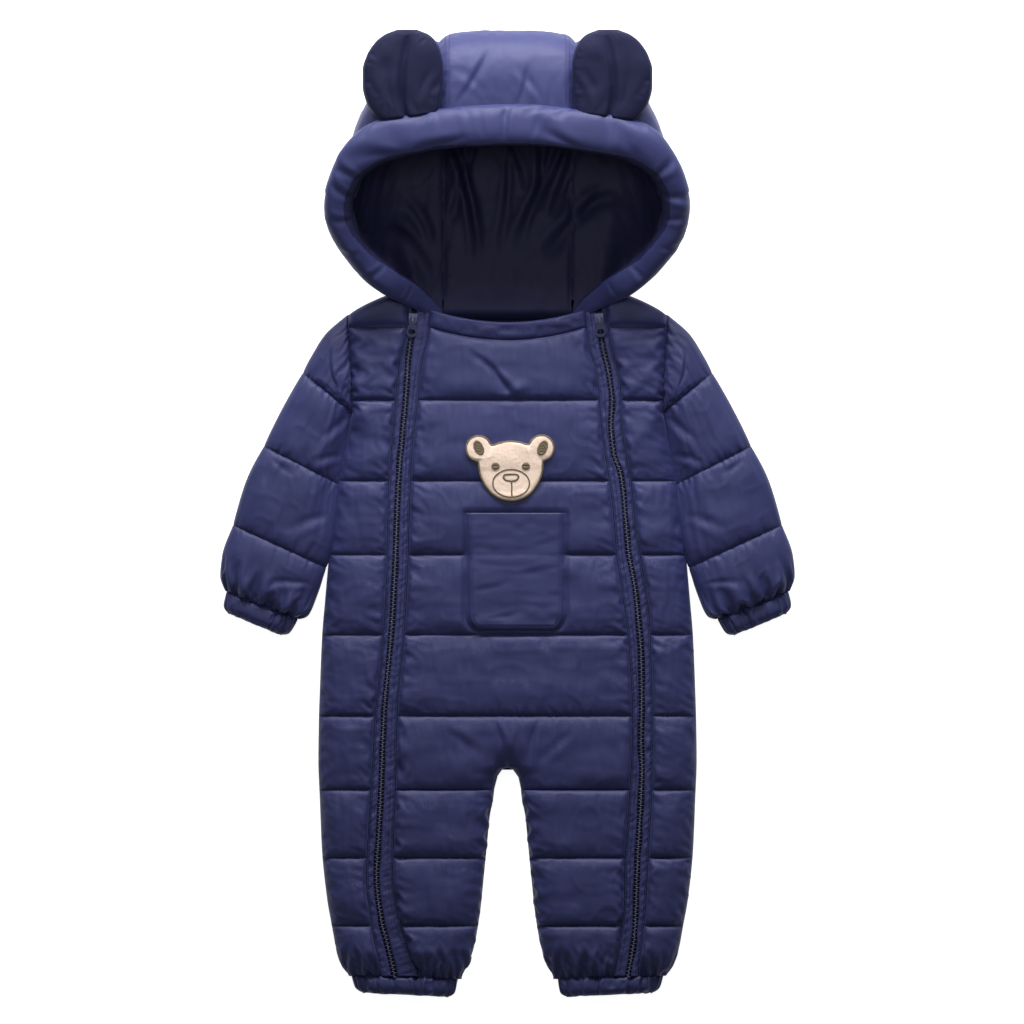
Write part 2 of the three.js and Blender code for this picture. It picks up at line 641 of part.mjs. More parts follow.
function sleeveRing(sign, stage) {
  const outer = new THREE.Vector2(sleeveColumn.outerX(stage), sleeveColumn.outerY(stage));
  const inner = new THREE.Vector2(sleeveColumn.innerX(stage), sleeveColumn.innerY(stage));
  const full = puff(stage - Math.min(3, Math.floor(stage)));
  const top = mix(SLEEVE_TOP_AT_LINE, SLEEVE_TOP, full);
  const under = mix(SLEEVE_UNDER_AT_LINE, MID, Math.min(1, 1.3 * full));
  const nearCuff = Math.max(0, (stage - 3.5) / 0.5);
  return [...Array(SLEEVE_POINTS).keys()].map((i) => {
    const turn = (2 * Math.PI * i) / SLEEVE_POINTS;
    const across = Math.cos(turn);
    const plan = inner.clone().lerp(outer, (1 + across) / 2);
    const height = (1 - Math.abs(across) ** 2.6) ** 0.5;
    const gather = nearCuff * 1.6 * height * Math.sin(across * 15);
    const z = Math.sin(turn) >= 0 ? MID + top * height + gather : MID - under * Math.min(1, 1.25 * height);
    return new THREE.Vector3(sign * plan.x, plan.y, Math.max(0, z));
  });
}

// A flat slit between the two layers of a tube, drawn inside its outline
function slit(sign, outline) {
  const shape = new THREE.Shape(outline.map((p) => new THREE.Vector2(sign * p.x, p.y)));
  const geometry = new THREE.ExtrudeGeometry(shape, { depth: SLIT, bevelEnabled: false });
  return solidOf(geometry.translate(0, 0, MID - SLIT / 2));
}

function insetSides(pairs) {
  const left = [];
  const right = [];
  for (const [outer, inner] of pairs) {
    const across = inner.clone().sub(outer).setLength(SLIT_INSET);
    left.push(outer.clone().add(across));
    right.unshift(inner.clone().sub(across));
  }
  return [...left, ...right];
}

function sleeve(side) {
  const sign = zips[side].side;
  const rings = [...Array(SLEEVE_STEPS + 1).keys()].map((i) => sleeveRing(sign, (4 * i) / SLEEVE_STEPS));
  const pairs = SLEEVE.map((row) => [new THREE.Vector2(row.outerX, row.outerY), new THREE.Vector2(row.innerX, row.innerY)]);
  const [first] = pairs;
  const last = pairs[pairs.length - 1];
  pairs.unshift(first.map((p) => p.clone().add(new THREE.Vector2(-2, 0))));
  pairs.push(last.map((p) => p.clone().add(new THREE.Vector2(0.7, -2))));
  return geometryOf(solidOf(loft(rings)).subtract(slit(sign, insetSides(pairs))));
}

function cuff(sign, { seam, end }) {
  const count = CUFF_GATHERS * POINTS_PER_GATHER;
  const rings = [...Array(CUFF_RINGS).keys()].map((r) => {
    const t = r / (CUFF_RINGS - 1);
    const outer = seam[0].clone().lerp(end[0], t);
    const inner = seam[1].clone().lerp(end[1], t);
    const centre = outer.clone().add(inner).multiplyScalar(0.5);
    const half = outer.distanceTo(inner) / 2;
    const along = outer.clone().sub(inner).normalize();
    const swell = 0.85 + 0.15 * Math.sin(Math.PI * t);
    return [...Array(count).keys()].map((i) => {
      const turn = (2 * Math.PI * i) / count;
      const bend = (value) => Math.sign(value) * Math.abs(value) ** 0.62;
      const depth = CUFF_GATHER_DEPTH * (0.6 + 0.4 * Math.sin(turn * 3 + 1)) * Math.cos(turn * CUFF_GATHERS);
      const u = (half - 1) * bend(Math.cos(turn));
      const v = (CUFF_HALF_HEIGHT * swell + depth) * bend(Math.sin(turn));
      return new THREE.Vector3(sign * (centre.x + along.x * u), centre.y + along.y * u, Math.max(0, 9.6 + v));
    });
  });
  const beyond = [seam.map((p, i) => p.clone().lerp(end[i], -0.2)), end.map((p, i) => p.clone().lerp(seam[i], -0.2))];
  const hollow = slit(sign, insetSides(beyond));
  return geometryOf(solidOf(loft(rings)).subtract(hollow));
}

// Hood

const brimAt = Object.fromEntries(
  ["y", "z"].map((name) => [
    name,
    {
      top: through(BRIM.slice(0, 6), "x", name),
      side: through(BRIM.slice(5), "x", name),
    },
  ]),
);

// The roll round the face opening, through its table and the table's mirror image
function brimGeometry(grow) {
  const half = BRIM.map((row) => ({ ...row }));
  const rows = [...half.slice(1).reverse(), ...half.map((row) => ({ ...row, x: -row.x }))];
  const path = new THREE.CatmullRomCurve3(rows.map((row) => new THREE.Vector3(row.x, row.y, row.z)), false, "centripetal");
  const sizes = (name) => through(rows.map((row, i) => ({ at: i / (rows.length - 1), value: row[name] })), "at", "value");
  const wide = sizes("wide");
  const tall = sizes("tall");
  const rings = [...Array(BRIM_STEPS + 1).keys()].map((i) => {
    const t = i / BRIM_STEPS;
    const centre = path.getPoint(t);
    const forward = path.getTangent(t);
    const across = new THREE.Vector3(-forward.y, forward.x, 0).normalize();
    const up = forward.clone().cross(across).normalize();
    const endRound = Math.min(1, Math.sqrt(Math.min(t, 1 - t) / 0.03) + 0.35);
    return [...Array(BRIM_POINTS).keys()].map((k) => {
      const turn = (2 * Math.PI * k) / BRIM_POINTS;
      return centre
        .clone()
        .addScaledVector(across, (wide(t) * endRound + grow) * Math.cos(turn))
        .addScaledVector(up, (tall(t) * endRound + grow) * Math.sin(turn));
    });
  });
  return loft(rings);
}

// Control points of the hood's wall in a plane across it, at a share of the way from its middle to its side,
// from under the top of the roll, over the crown, along the surface it lies on and up to the neck.
// inset 0 gives the outer side and inset 1 the inner side.
function hoodSection(share, inset, groove) {
  const pole = HOOD_POLE - HOOD_WALL * inset;
  const across = Math.min(share * HOOD_POLE, BRIM[5].x - 0.1);
  const closing = Math.sqrt(Math.max(0, 1 - share ** 8));
  const skin = (HOOD_WALL * inset + groove * (1 - inset)) * closing;
  const bulge = (1 - share ** 2.6) ** (1 / 2.1);
  const topY = mix(HOOD_POLE_Y, brimAt.y.top(across), Math.min(1, closing * 1.2));
  const topZ = brimAt.z.top(across);
  const crownY = mix(HOOD_POLE_Y, HOOD_CROWN_Y, bulge);
  const beyondFlat = Math.max(0, (across - HOOD_FLAT_HALF) / (BRIM[5].x - HOOD_FLAT_HALF));
  const floorZ = HOOD_POLE_Z * (1 - Math.sqrt(1 - beyondFlat ** 2));
  const wing = THREE.MathUtils.smoothstep(across, 92, 116);
  const neckY = mix(HOOD_NECK_Y, mix(brimAt.y.side(across), HOOD_POLE_Y, share ** 30), wing);
  const neckZ = mix(floorZ, brimAt.z.side(across), wing);
  const depth = crownY - neckY;
  const points = [
    [topY - 4 * inset, topZ - 2 - skin],
    [mix(topY, crownY, 0.45), topZ + 3 - skin],
    [crownY - skin, topZ * 0.95 - skin],
    [crownY + 3 - skin, mix(floorZ, topZ, 0.28) + skin * 0.3],
    [crownY - 0.12 * depth - skin * 0.3, floorZ + skin],
    [neckY + 0.6 * depth, floorZ + skin],
    [neckY + 0.25 * depth, floorZ + skin],
    [neckY, neckZ + skin * (1 - wing)],
  ];
  return { x: share * pole, points };
}

// A clamped cubic B-spline through the plane of a section
function sectionCurve({ x, points }, count) {
  const degree = 3;
  const spans = points.length - degree;
  const knot = (i) => Math.min(spans, Math.max(0, i - degree));
  return [...Array(count + 1).keys()].map((n) => {
    const t = (spans * n) / count;
    const span = Math.min(points.length - 1, Math.floor(t) + degree);
    const local = points.slice(span - degree, span + 1).map((p) => [...p]);
    for (let r = 1; r <= degree; r++) {
      for (let j = degree; j >= r; j--) {
        const i = span - degree + j;
        const low = knot(i);
        const high = knot(i + degree + 1 - r);
        const share = high > low ? (t - low) / (high - low) : 0;
        local[j] = local[j].map((value, axis) => mix(local[j - 1][axis], value, share));
      }
    }
    const [y, z] = local[degree];
    return new THREE.Vector3(x, y, Math.max(0, z));
  });
}

// A stretch of the hood's wall across the shares given. Where closed, its last column ends the bowl.
function hoodWall(columns, closed) {
  const count = HOOD_CURVE_POINTS;
  const sheet = (inset) =>
    columns.flatMap(({ share, groove }) => {
      const curve = sectionCurve(hoodSection(Math.abs(share), inset, groove), count);
      return curve.map((p) => p.setX(Math.sign(share) * p.x));
    });
  const points = [...sheet(0), ...sheet(1)];
  const tall = count + 1;
  const wide = columns.length;
  const inner = wide * tall;
  const faces = [];
  for (let c = 0; c + 1 < wide; c++) {
    for (let k = 0; k < count; k++) {
      const a = c * tall + k;
      faces.push(...quad(a, a + 1, a + tall + 1, a + tall));
      faces.push(...quad(inner + a, inner + a + tall, inner + a + tall + 1, inner + a + 1));
    }
    for (const [k, flip] of [[0, false], [count, true]]) {
      const a = c * tall + k;
      const face = quad(a, a + tall, inner + a + tall, inner + a);
      faces.push(...(flip ? face.map(([p, q, r]) => [p, r, q]) : face));
    }
  }
  const closeSide = (c, flip) => {
    for (let k = 0; k < count; k++) {
      const a = c * tall + k;
      const face = quad(a, inner + a, inner + a + 1, a + 1);
      faces.push(...(flip ? face.map(([p, q, r]) => [p, r, q]) : face));
    }
  };
  closeSide(0, false);
  if (!closed) {
    closeSide(wide - 1, true);
  } else {
    const a = (wide - 1) * tall;
    for (let k = 1; k < count; k++) {
      faces.push([a, a + k, a + k + 1], [inner + a, inner + a + k + 1, inner + a + k]);
    }
    faces.push(...quad(a, a + count, inner + a + count, inner + a));
  }
  return closedGeometry(points, faces);
}

const seamShare = HOOD_STRIP_HALF / HOOD_POLE;
const gapShare = GAP / 2 / HOOD_POLE;
const grooveDepth = HOOD_WALL - HOOD_WALL_AT_SEAM;
const grooveAt = (share) => grooveDepth * Math.max(0, 1 - Math.abs(share - seamShare) / 0.09) ** 2;

function hoodStrip(cutter) {
  const shares = [0, 0.13, 0.26, 0.35, seamShare - gapShare];
  const all = [...shares.slice(1).reverse().map((s) => -s), ...shares];
  const columns = all.map((share) => ({ share, groove: grooveAt(Math.abs(share)) }));
  return geometryOf(mainBody(solidOf(hoodWall(columns, false)).subtract(cutter)));
}

function hoodSide(sign, cutter) {
  const shares = [seamShare + gapShare, 0.46, 0.56, 0.68, 0.8, 0.89, 0.95, 0.985];
  const columns = shares.map((share) => ({ share: sign * share, groove: grooveAt(share) }));
  return geometryOf(mainBody(solidOf(hoodWall(columns, true)).subtract(cutter)));
}

function ear(sign, cutters) {
  const half = through(EAR, "y", "half");
  const centre = through(EAR, "y", "centre");
  const first = EAR[0].y;
  const last = EAR[EAR.length - 1].y;
  const steps = 9;
  const around = 16;
  const rings = [...Array(steps + 1).keys()].map((i) => {
    const y = mix(first, last, Math.sin(((i / steps) * Math.PI) / 2) ** 0.9);
    const upEar = (y - first) / (last - first);
    const body = Math.sqrt(1 - upEar ** 3.2 * 0.93);
    return [...Array(around).keys()].map((k) => {
      const turn = (2 * Math.PI * k) / around;
      const across = Math.cos(turn);
      const pillow = EAR_RIM + (EAR_HALF_THICKNESS - EAR_RIM) * body * Math.sqrt(1 - across ** 2);
      const folding = Math.max(0, 1 - Math.abs(across * half(y) - 3 + upEar * 4) / EAR_CREASE.halfWidth);
      const crease = EAR_CREASE.depth * folding * Math.max(0, 1 - (y - first) / (EAR_CREASE.topY - first));
      const rise = Math.sign(Math.sin(turn)) * Math.max(0, pillow * Math.min(1, Math.abs(Math.sin(turn)) * 3) - crease);
      return new THREE.Vector3(sign * (centre(y) + across * half(y)), y, EAR_Z + rise);
    });
  });
  return geometryOf(mainBody(cutters.reduce((solid, cutter) => solid.subtract(cutter), solidOf(loft(rings)))));
}

// Pieces that lie on the front panel: a thin slab of the panel's own surface, moved out, inside an outline

function onPanel(panelGeometry, prism, lift) {
  return geometryOf(prism.intersect(raised(panelGeometry, lift)).subtract(raised(panelGeometry, GAP)));
}

function prismOf(shape, curveSegments = 8) {
  const geometry = new THREE.ExtrudeGeometry(shape, { depth: 40, bevelEnabled: false, curveSegments });
  return solidOf(geometry.translate(0, 0, MID + 1));
}

function pocketPrism() {
  const { left, right, top, bottom, radius } = POCKET;
  const shape = new THREE.Shape();
  shape.moveTo(left, top);
  shape.lineTo(left, bottom + radius);
  shape.absarc(left + radius, bottom + radius, radius, Math.PI, 1.5 * Math.PI, false);
  shape.lineTo(right - radius, bottom);
  shape.absarc(right - radius, bottom + radius, radius, 1.5 * Math.PI, 2 * Math.PI, false);
  shape.lineTo(right, top);
  return prismOf(shape, 5);
}

function ellipsePrism(x, y, rx, ry, segments) {
  const shape = new THREE.Shape();
  shape.absellipse(x, y, rx, ry, 0, 2 * Math.PI, false);
  return prismOf(shape, segments);
}

// A plain bear's head: a broad oval for the head, a rounder one for its chin, and two round ears
function bearPrism() {
  const { x, y } = BEAR;
  const head = ellipsePrism(x, y + 4, 30, 23, 14).add(ellipsePrism(x, y - 6, 24, 22, 14));
  const ears = [-1, 1].map((sign) => ellipsePrism(x + sign * 27.5, y + 22, 11.5, 12.5, 10));
  return head.add(ears[0]).add(ears[1]);
}

// The garment

const garment = new THREE.Group();
function add(name, geometry, material) {
  const mesh = new THREE.Mesh(geometry, material);
  mesh.name = name;
  garment.add(mesh);
  return geometry;
}

const centre = add("front_centre", frontCentre(), CLOTH);
add("neck_band", neckBand(), CLOTH);
add("pocket", onPanel(centre, pocketPrism(), POCKET.lift), CLOTH);
add("bear_patch", onPanel(centre, bearPrism(), BEAR.lift), PLUSH);
add("back_body", backBody(), CLOTH);

const brimCutter = solidOf(brimGeometry(GAP));
const strips = add("hood_strip", hoodStrip(brimCutter), CLOTH);
add("hood_brim", brimGeometry(0), CLOTH);

for (const side of ["left", "right"]) {
  const zip = zips[side];
  add(`front_side_${side}`, frontSide(side), CLOTH);
  add(`front_leg_${side}`, frontLeg(side), CLOTH);
  add(`back_leg_${side}`, backLeg(side), CLOTH);
  add(`sleeve_${side}`, sleeve(side), CLOTH);
  add(`sleeve_cuff_${side}`, cuff(zip.side, SLEEVE_CUFF), CLOTH);
  add(`leg_cuff_${side}`, cuff(zip.side, LEG_CUFF), CLOTH);
  add(`zip_band_outer_${side}`, outerBand(zip), CLOTH);
  add(`zip_band_inner_${side}`, innerBand(zip), CLOTH);
  add(`zip_teeth_${side}`, teethRow(zip), TEETH);
  add(`zip_slider_${side}`, onZip(side, sliderGeometry(), 0, 0), METAL);
  add(`pull_tab_${side}`, onZip(side, tabGeometry(), SLIDER.plate + TAB.pivotRise, TAB.tilt), METAL);
  const wall = add(`hood_side_${side}`, hoodSide(zip.side, brimCutter), CLOTH);
  add(`ear_${side}`, ear(zip.side, [brimCutter, raised(wall, GAP), raised(strips, GAP), solidOf(wall), solidOf(strips)]), CLOTH);
}

// The origin lies on the surface under the middle of the garment.
const reach = new THREE.Box3().setFromObject(garment);
garment.position.y = -(reach.min.y + reach.max.y) / 2;

export default garment;
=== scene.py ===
# The looks of a baby's padded snowsuit, laid out on its back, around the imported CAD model.
# Sizes are in millimetres up to to_metres(), in the part's own frame before its origin is centred.
import math

import bmesh
import bpy
import numpy as np
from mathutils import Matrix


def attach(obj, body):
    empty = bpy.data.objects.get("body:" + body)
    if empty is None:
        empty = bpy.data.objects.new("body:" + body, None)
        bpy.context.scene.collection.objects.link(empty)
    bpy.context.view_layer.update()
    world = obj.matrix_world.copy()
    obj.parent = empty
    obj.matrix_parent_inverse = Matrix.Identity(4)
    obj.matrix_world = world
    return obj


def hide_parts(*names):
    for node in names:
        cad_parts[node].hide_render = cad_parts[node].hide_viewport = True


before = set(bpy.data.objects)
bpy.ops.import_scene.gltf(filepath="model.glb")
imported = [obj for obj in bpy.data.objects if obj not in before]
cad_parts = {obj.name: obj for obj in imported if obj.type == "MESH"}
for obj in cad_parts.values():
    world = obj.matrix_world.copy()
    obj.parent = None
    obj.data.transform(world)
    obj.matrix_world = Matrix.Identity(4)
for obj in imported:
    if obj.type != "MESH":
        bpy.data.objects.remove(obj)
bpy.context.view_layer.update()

# Sizes shared with the part
SHIFT_Y = -2.9903
MID = 14
SEAM_RISE = 5
FRONT_LOFT = 16.5
BACK_LOFT = 17
NECK_RISE = 5
SIDE_ROUNDING = 30
SEAM_ROUNDING = 11
SEWN_RISE = 10.5  # how far a line of quilting lies over the back of the front's cloth
SEAM_Z = MID + SEAM_RISE
NECK_DROP_Y = 181
NECK_HALF_WIDTH = 100
NECK_BAND = 16.7
SHOULDER_Y = 203
SHOULDER_TIP = (150, 186)
ARMPIT = (146, 96)
CROTCH_Y = -238.3
LEG_TOP_Y = -259
CUFF_SEAM_Y = -434
YOKE_LINE = 176.3
BODY_LINES = [107.6, 31.5, -38, -113.3, -189.4, LEG_TOP_Y]
LEG_LINES = [-322.9, -386.8]
SIDE_FOLD = [
    (96, 146), (60, 153.7), (31.5, 159.3), (-5, 164), (-38, 167.8), (-80, 171.6), (-113, 174.4),
    (-156, 176.3),
    (-203, 177.7), (-231, 178), (-268, 176.6), (-315, 174.6), (-362, 169.7), (-386, 165.4), (-409, 161),
    (-423, 155.8), (CUFF_SEAM_Y, 148.5),
]
INSIDE_LEG = [
    (CROTCH_Y, 0), (-240.2, 5.2), (-246.8, 8.9), (-254.3, 11.8), (-268.4, 13.6), (-282.5, 16.5),
    (-310.7, 19.3),
    (-338.9, 22.1), (-367.1, 24.9), (-381.2, 26.8), (-402.8, 30.6), (-418.8, 35.3), (CUFF_SEAM_Y, 43),
]
# y, teeth, outer, inner
ZIP_RIGHT = [
    (200, -87.8, 5, 15), (186.6, -88.8, 5, 16), (166.9, -90.7, 5.4, 16), (145.2, -93.5, 8, 14),
    (107.6, -95.9, 9.6, 12), (60.6, -100.1, 9.6, 10.8), (24.9, -102.9, 9.4, 11.8), (-48.4, -105.8, 8, 12.4),
    (-89.8, -108, 7.6, 12.6), (-132, -111.1, 7.6, 12.4), (-185.7, -116.1, 8.5, 13), (-253.3, -118.9, 9.4, 14),
    (-295.6, -120.8, 10.3, 14.6), (-341.7, -123.3, 9.8, 16), (-382.1, -118.9, 10, 18),
    (-403.7, -113.3, 12, 19),
    (CUFF_SEAM_Y, -106.5, 12, 23),
]
ZIP_LEFT = [
    (200, 84.5, 7.5, 13), (186.6, 86, 8, 13), (161.2, 88.8, 8, 13), (128.3, 95.7, 9.6, 12),
    (106.7, 98.2, 9, 12),
    (85, 97.3, 10, 9.8), (57.8, 99.7, 12, 8.5), (36.2, 106.7, 9, 12), (-8, 111.4, 9, 11.4),
    (-38, 114.2, 11, 12),
    (-71, 119.9, 10.7, 13), (-97.3, 122.7, 11, 11.7), (-130.2, 125.5, 9.6, 11.3), (-172.5, 126.2, 10, 9.4),
    (-212.9, 125.5, 11, 8.6), (-240.2, 126.4, 10, 10.6), (-280.6, 124.8, 10.4, 11.7),
    (-327.6, 122.2, 10.3, 12.2),
    (-368, 120.8, 9.5, 11.4), (-395.3, 119.5, 8, 14), (CUFF_SEAM_Y, 113.5, 9, 14),
]
# stage, outer x, outer y, inner x, inner y
SLEEVE = [
    (0, 150.6, 185.6, 147, 97.5), (0.35, 171.6, 168.7, 147.4, 96.2), (0.7, 184.5, 149, 147.8, 94.9),
    (1, 193.2, 133.4, 148.3, 93.5), (1.5, 212, 99.5, 154.6, 61), (2, 229.8, 64.4, 161.4, 27),
    (2.5, 245.6, 32.5, 166, -11), (3, 258.8, -9.7, 171.2, -50.3), (3.5, 268.6, -40, 180, -79),
    (3.8, 269.8, -58, 189, -96), (4, 265.8, -72.6, 196.6, -99.2),
]
SLEEVE_CUFF = (((265, -73.4), (197.3, -99.6)), ((269.4, -89.5), (206, -116)))
LEG_CUFF = (((147, CUFF_SEAM_Y), (46.5, CUFF_SEAM_Y - 3)), ((143.5, -449), (48.5, -453.6)))
# x, y, z, wide, tall
BRIM = [
    (0, 364, 103, 19.5, 13), (39, 363.5, 103, 19, 13), (80.4, 357.5, 102, 18.5, 13.5),
    (118.8, 346, 98, 17, 15),
    (144, 326, 91, 13.5, 17), (156, 296.5, 81, 11, 18), (153, 266.5, 70, 10.5, 17),
    (132.5, 236.5, 56, 11.5, 14),
    (110, 217.5, 46, 12, 11), (88, 204.5, 41, 9.5, 8), (73, 196.5, 38, 6, 5),
]
HOOD_POLE = 157
HOOD_POLE_Y = 296
HOOD_POLE_Z = 80
HOOD_STRIP_HALF = 64
HOOD_FLAT_HALF = 98
HOOD_CROWN_Y = 455
HOOD_NECK_Y = 203.3
HOOD_WALL = 10
HOOD_WALL_AT_SEAM = 5
# y, centre, half
EAR = [
    (372, 92, 27), (379, 94.5, 31.5), (390, 97, 35.5), (404, 98, 37.6), (418, 98, 37.6), (431, 97, 34.6),
    (442, 95.5, 28.5), (449, 94.5, 20.5), (453.6, 94, 9),
]
EAR_Z = 101
POCKET = {"left": -41.8, "right": 55.9, "top": 1.4, "bottom": -111.4, "radius": 19}
BEAR = (3, 41)

# Sizes of the detail
FINE = 1.6  # spacing of the points of a cloth surface
BACK_FINE = 3.4  # the same on the back
TUBE_ROWS = 34
BACK_TUBE_ROWS = 18
OVERLAP = 0.3  # how far the front's and the back's cloth reach past the middle between them
FAR = 99  # a distance at which an edge has no more effect
TOOTH_PITCH = 3.5
STITCH_LENGTH = 2.5
STITCH_PITCH = 3.4
STITCH_RADIUS = 0.32
EDGE_STITCH = {"length": 2.2, "radius": 0.27}  # the finer thread along edges

# Folds: x, y, angle, length, width, depth and, for some, bend
CHEST_AND_CROTCH_FOLDS = [
    (-39, 155, -36, 38, 2.9, 1.5), (-21, 145, -53, 46, 2.9, 1.8), (-14, 132, -50, 34, 5, 1.6),
    (-4, 112, 20, 30, 4.5, -1.3), (30, -192, -115, 44, 3.2, 1.7, 0.2), (-14, -192, -62, 38, 3.0, 1.4, -0.2),
    (12, -196, -100, 34, 2.4, 1.3), (62, -203, -140, 46, 3.4, 1.1), (-58, -202, -35, 44, 3.4, 1.0),
]
POCKET_FOLDS = [
    (-30, -46, -8, 60, 3.2, 1.2), (0, -57, 4, 52, 3.0, 1.0), (-34, -72, 6, 40, 3.0, 0.9),
    (12, -84, -12, 38, 3.2, 0.9),
    (-38, -28, -20, 34, 3.4, 0.8), (22, -30, 8, 30, 3.0, 0.8), (-20, -98, 3, 34, 2.4, 0.9),
]
# x is the place across the sleeve and y the place down it
SLEEVE_FOLDS = [
    (-40, 70, 35, 46, 3.4, 1.6), (-42, 100, 20, 40, 3.0, 1.4), (-38, 150, 25, 44, 3.2, 1.5),
    (30, 20, 140, 40, 3.5, 1.4), (-30, 40, 60, 38, 3.0, 1.4), (34, 130, 165, 30, 3.0, 1.0),
    (-40, 205, 15, 46, 3.0, 1.4), (8, 215, 80, 30, 3.0, 1.3),
]
# x is the share of the roll's length and y the distance round it
BRIM_FOLDS = [
    (0.5, 8, 80, 34, 3.0, 2.2), (0.47, 12, 110, 26, 2.4, 1.3), (0.53, 14, 70, 26, 2.6, 1.4),
    (0.28, 4, 75, 40, 3.6, 2.6), (0.25, 8, 100, 40, 3.4, 2.4), (0.21, 10, 70, 34, 3.2, 1.8),
    (0.72, 6, 80, 42, 3.6, 2.6), (0.755, 8, 105, 40, 3.4, 2.4), (0.79, 8, 95, 34, 3.4, 1.8),
    (0.36, 10, 60, 40, 4.0, 1.6), (0.63, 12, 120, 40, 4.0, 1.6), (0.12, 10, 80, 30, 3.0, 2.0),
    (0.88, 10, 95, 30, 3.0, 2.0), (0.08, 12, 80, 26, 2.6, 1.8), (0.93, 12, 80, 26, 2.6, 1.8),
    (0.17, 20, 60, 30, 3.2, 1.6), (0.84, 20, 110, 30, 3.2, 1.6), (0.33, 30, 60, 26, 3.0, 1.2),
    (0.68, 30, 120, 26, 3.0, 1.2), (0.40, 8, 14, 62, 4.4, 2.4), (0.55, 16, -12, 60, 4.2, 2.2),
    (0.32, 14, 20, 54, 4.6, 2.2), (0.64, 8, 16, 60, 4.6, 2.4), (0.495, 42, -70, 20, 3.2, 2.4),
    (0.505, 6, 82, 20, 2.6, 2.0), (0.45, 44, -40, 26, 3.2, 1.8), (0.56, 44, -120, 26, 3.2, 1.8),
    (0.42, 46, -60, 22, 3.0, 1.5), (0.59, 46, -100, 24, 3.0, 1.5),
]
# x is across the hood and y the distance over it from the roll, for the lining about 360 down to the neck
SHELL_FOLDS = [
    (-48, 20, 52, 70, 3.4, 2.2), (10, 18, 68, 50, 3.2, 1.8), (34, 22, 120, 44, 3.4, 1.4),
    (-20, 30, 130, 40, 4.0, 1.2), (88, 24, 100, 46, 4.0, 1.8), (-88, 24, 80, 46, 4.0, 1.8),
]
LINING_FOLDS = [
    (-118, 215, 62, 150, 3.6, 6.5), (-80, 150, 66, 180, 3.8, 6.5), (-14, 150, 100, 180, 4.2, 4.4),
    (24, 150, 82, 180, 4, 3.8), (108, 215, 118, 150, 3.6, 6.5), (84, 140, 100, 180, 3.8, 6.5),
    (60, 200, 108, 140, 3.8, 4.5), (-50, 210, 74, 140, 3.8, 5.5), (-96, 120, 58, 90, 3.8, 4.5),
    (100, 120, 122, 90, 3.8, 4.5), (0, 90, 20, 70, 4, 2.5), (-40, 80, 160, 60, 4, 2.5),
    (-22, 170, 62, 120, 3.6, 3.8), (-60, 130, 112, 70, 3.6, 3.5), (40, 210, 98, 130, 3.6, 3.2),
    (70, 120, 70, 60, 3.4, 3.0), (-96, 235, 66, 120, 3.4, 5.5), (90, 240, 114, 120, 3.4, 5.5),
    (2, 215, 88, 120, 3.6, 3.5),
]
EAR_FOLDS = [
    (10, 380, 74, 48, 3.6, 0.8), (-12, 384, 106, 40, 3.6, 0.8), (22, 390, 50, 26, 3.4, 0.5),
    (-22, 392, 130, 26, 3.4, 0.5),
]


# Numbers


def through(table, column=1):
    """A smooth curve with no overshoot through a table's first column and the one named."""
    rows = sorted(table, key=lambda row: row[0])
    at = np.array([row[0] for row in rows], float)
    value = np.array([row[column] for row in rows], float)
    slope = np.diff(value) / np.diff(at)
    tangent = np.empty_like(at)
    tangent[0], tangent[-1] = slope[0], slope[-1]
    product = slope[:-1] * slope[1:]
    total = slope[:-1] + slope[1:]
    tangent[1:-1] = np.where(product > 0, 2 * product / np.where(total == 0, 1, total), 0)

    def curve(x):
        x = np.clip(np.asarray(x, float), at[0], at[-1])
        i = np.clip(np.searchsorted(at, x, side="right") - 1, 0, len(at) - 2)
        width = at[i + 1] - at[i]
        t = (x - at[i]) / width
        t2, t3 = t * t, t * t * t
        return (
            (2 * t3 - 3 * t2 + 1) * value[i]
            + (t3 - 2 * t2 + t) * width * tangent[i]
            + (3 * t2 - 2 * t3) * value[i + 1]
            + (t3 - t2) * width * tangent[i + 1]
        )

    return curve


def mix(a, b, t):
    return a + (b - a) * t


def smooth(low, high, x):
    t = np.clip((x - low) / (high - low), 0, 1)
    return t * t * (3 - 2 * t)


def rounded(distance, reach):
    s = np.clip(distance / reach, 0, 1)
    return np.sqrt(1 - (1 - s) ** 2)


def puff(s):
    return np.maximum(0, 1 - np.abs(2 * np.clip(s, 0, 1) - 1) ** 3.3) ** 0.5


def noise(x, y, seed):
    """Smooth noise from -1 to 1 with features about one unit wide."""
    table = np.random.default_rng(seed).uniform(-1, 1, (256, 256))
    x, y = np.broadcast_arrays(np.asarray(x, float), np.asarray(y, float))
    i, j = np.floor(x).astype(int), np.floor(y).astype(int)
    u, v = x - i, y - j
    u, v = u * u * u * (u * (6 * u - 15) + 10), v * v * v * (v * (6 * v - 15) + 10)
    a, b = table[i % 256, j % 256], table[(i + 1) % 256, j % 256]
    c, d = table[i % 256, (j + 1) % 256], table[(i + 1) % 256, (j + 1) % 256]
    return mix(mix(a, b, u), mix(c, d, u), v)


def bell(x, width):
    return np.exp(-((x / width) ** 2))


def eased(turn):
    """Half a turn made into shares from 0 to 1, which lie closer together near both ends."""
    return (1 - np.cos(turn)) / 2


def turns(count):
    return 2 * np.pi * np.arange(count) / count


def squarer(value, power):
    """A circle's cosine or sine moved away from 0, which makes the circle squarer."""
    return np.sign(value) * np.abs(value) ** power


def travel(path):
    """How far along a path each of its points lies."""
    steps = np.linalg.norm(np.diff(path, axis=0), axis=1)
    return np.concatenate([[0], np.cumsum(steps)])


def at_distance(at, travelled, values):
    """What a path's points have, in columns, at the distances at along it."""
    return np.stack([np.interp(at, travelled, column) for column in np.transpose(values)], -1)


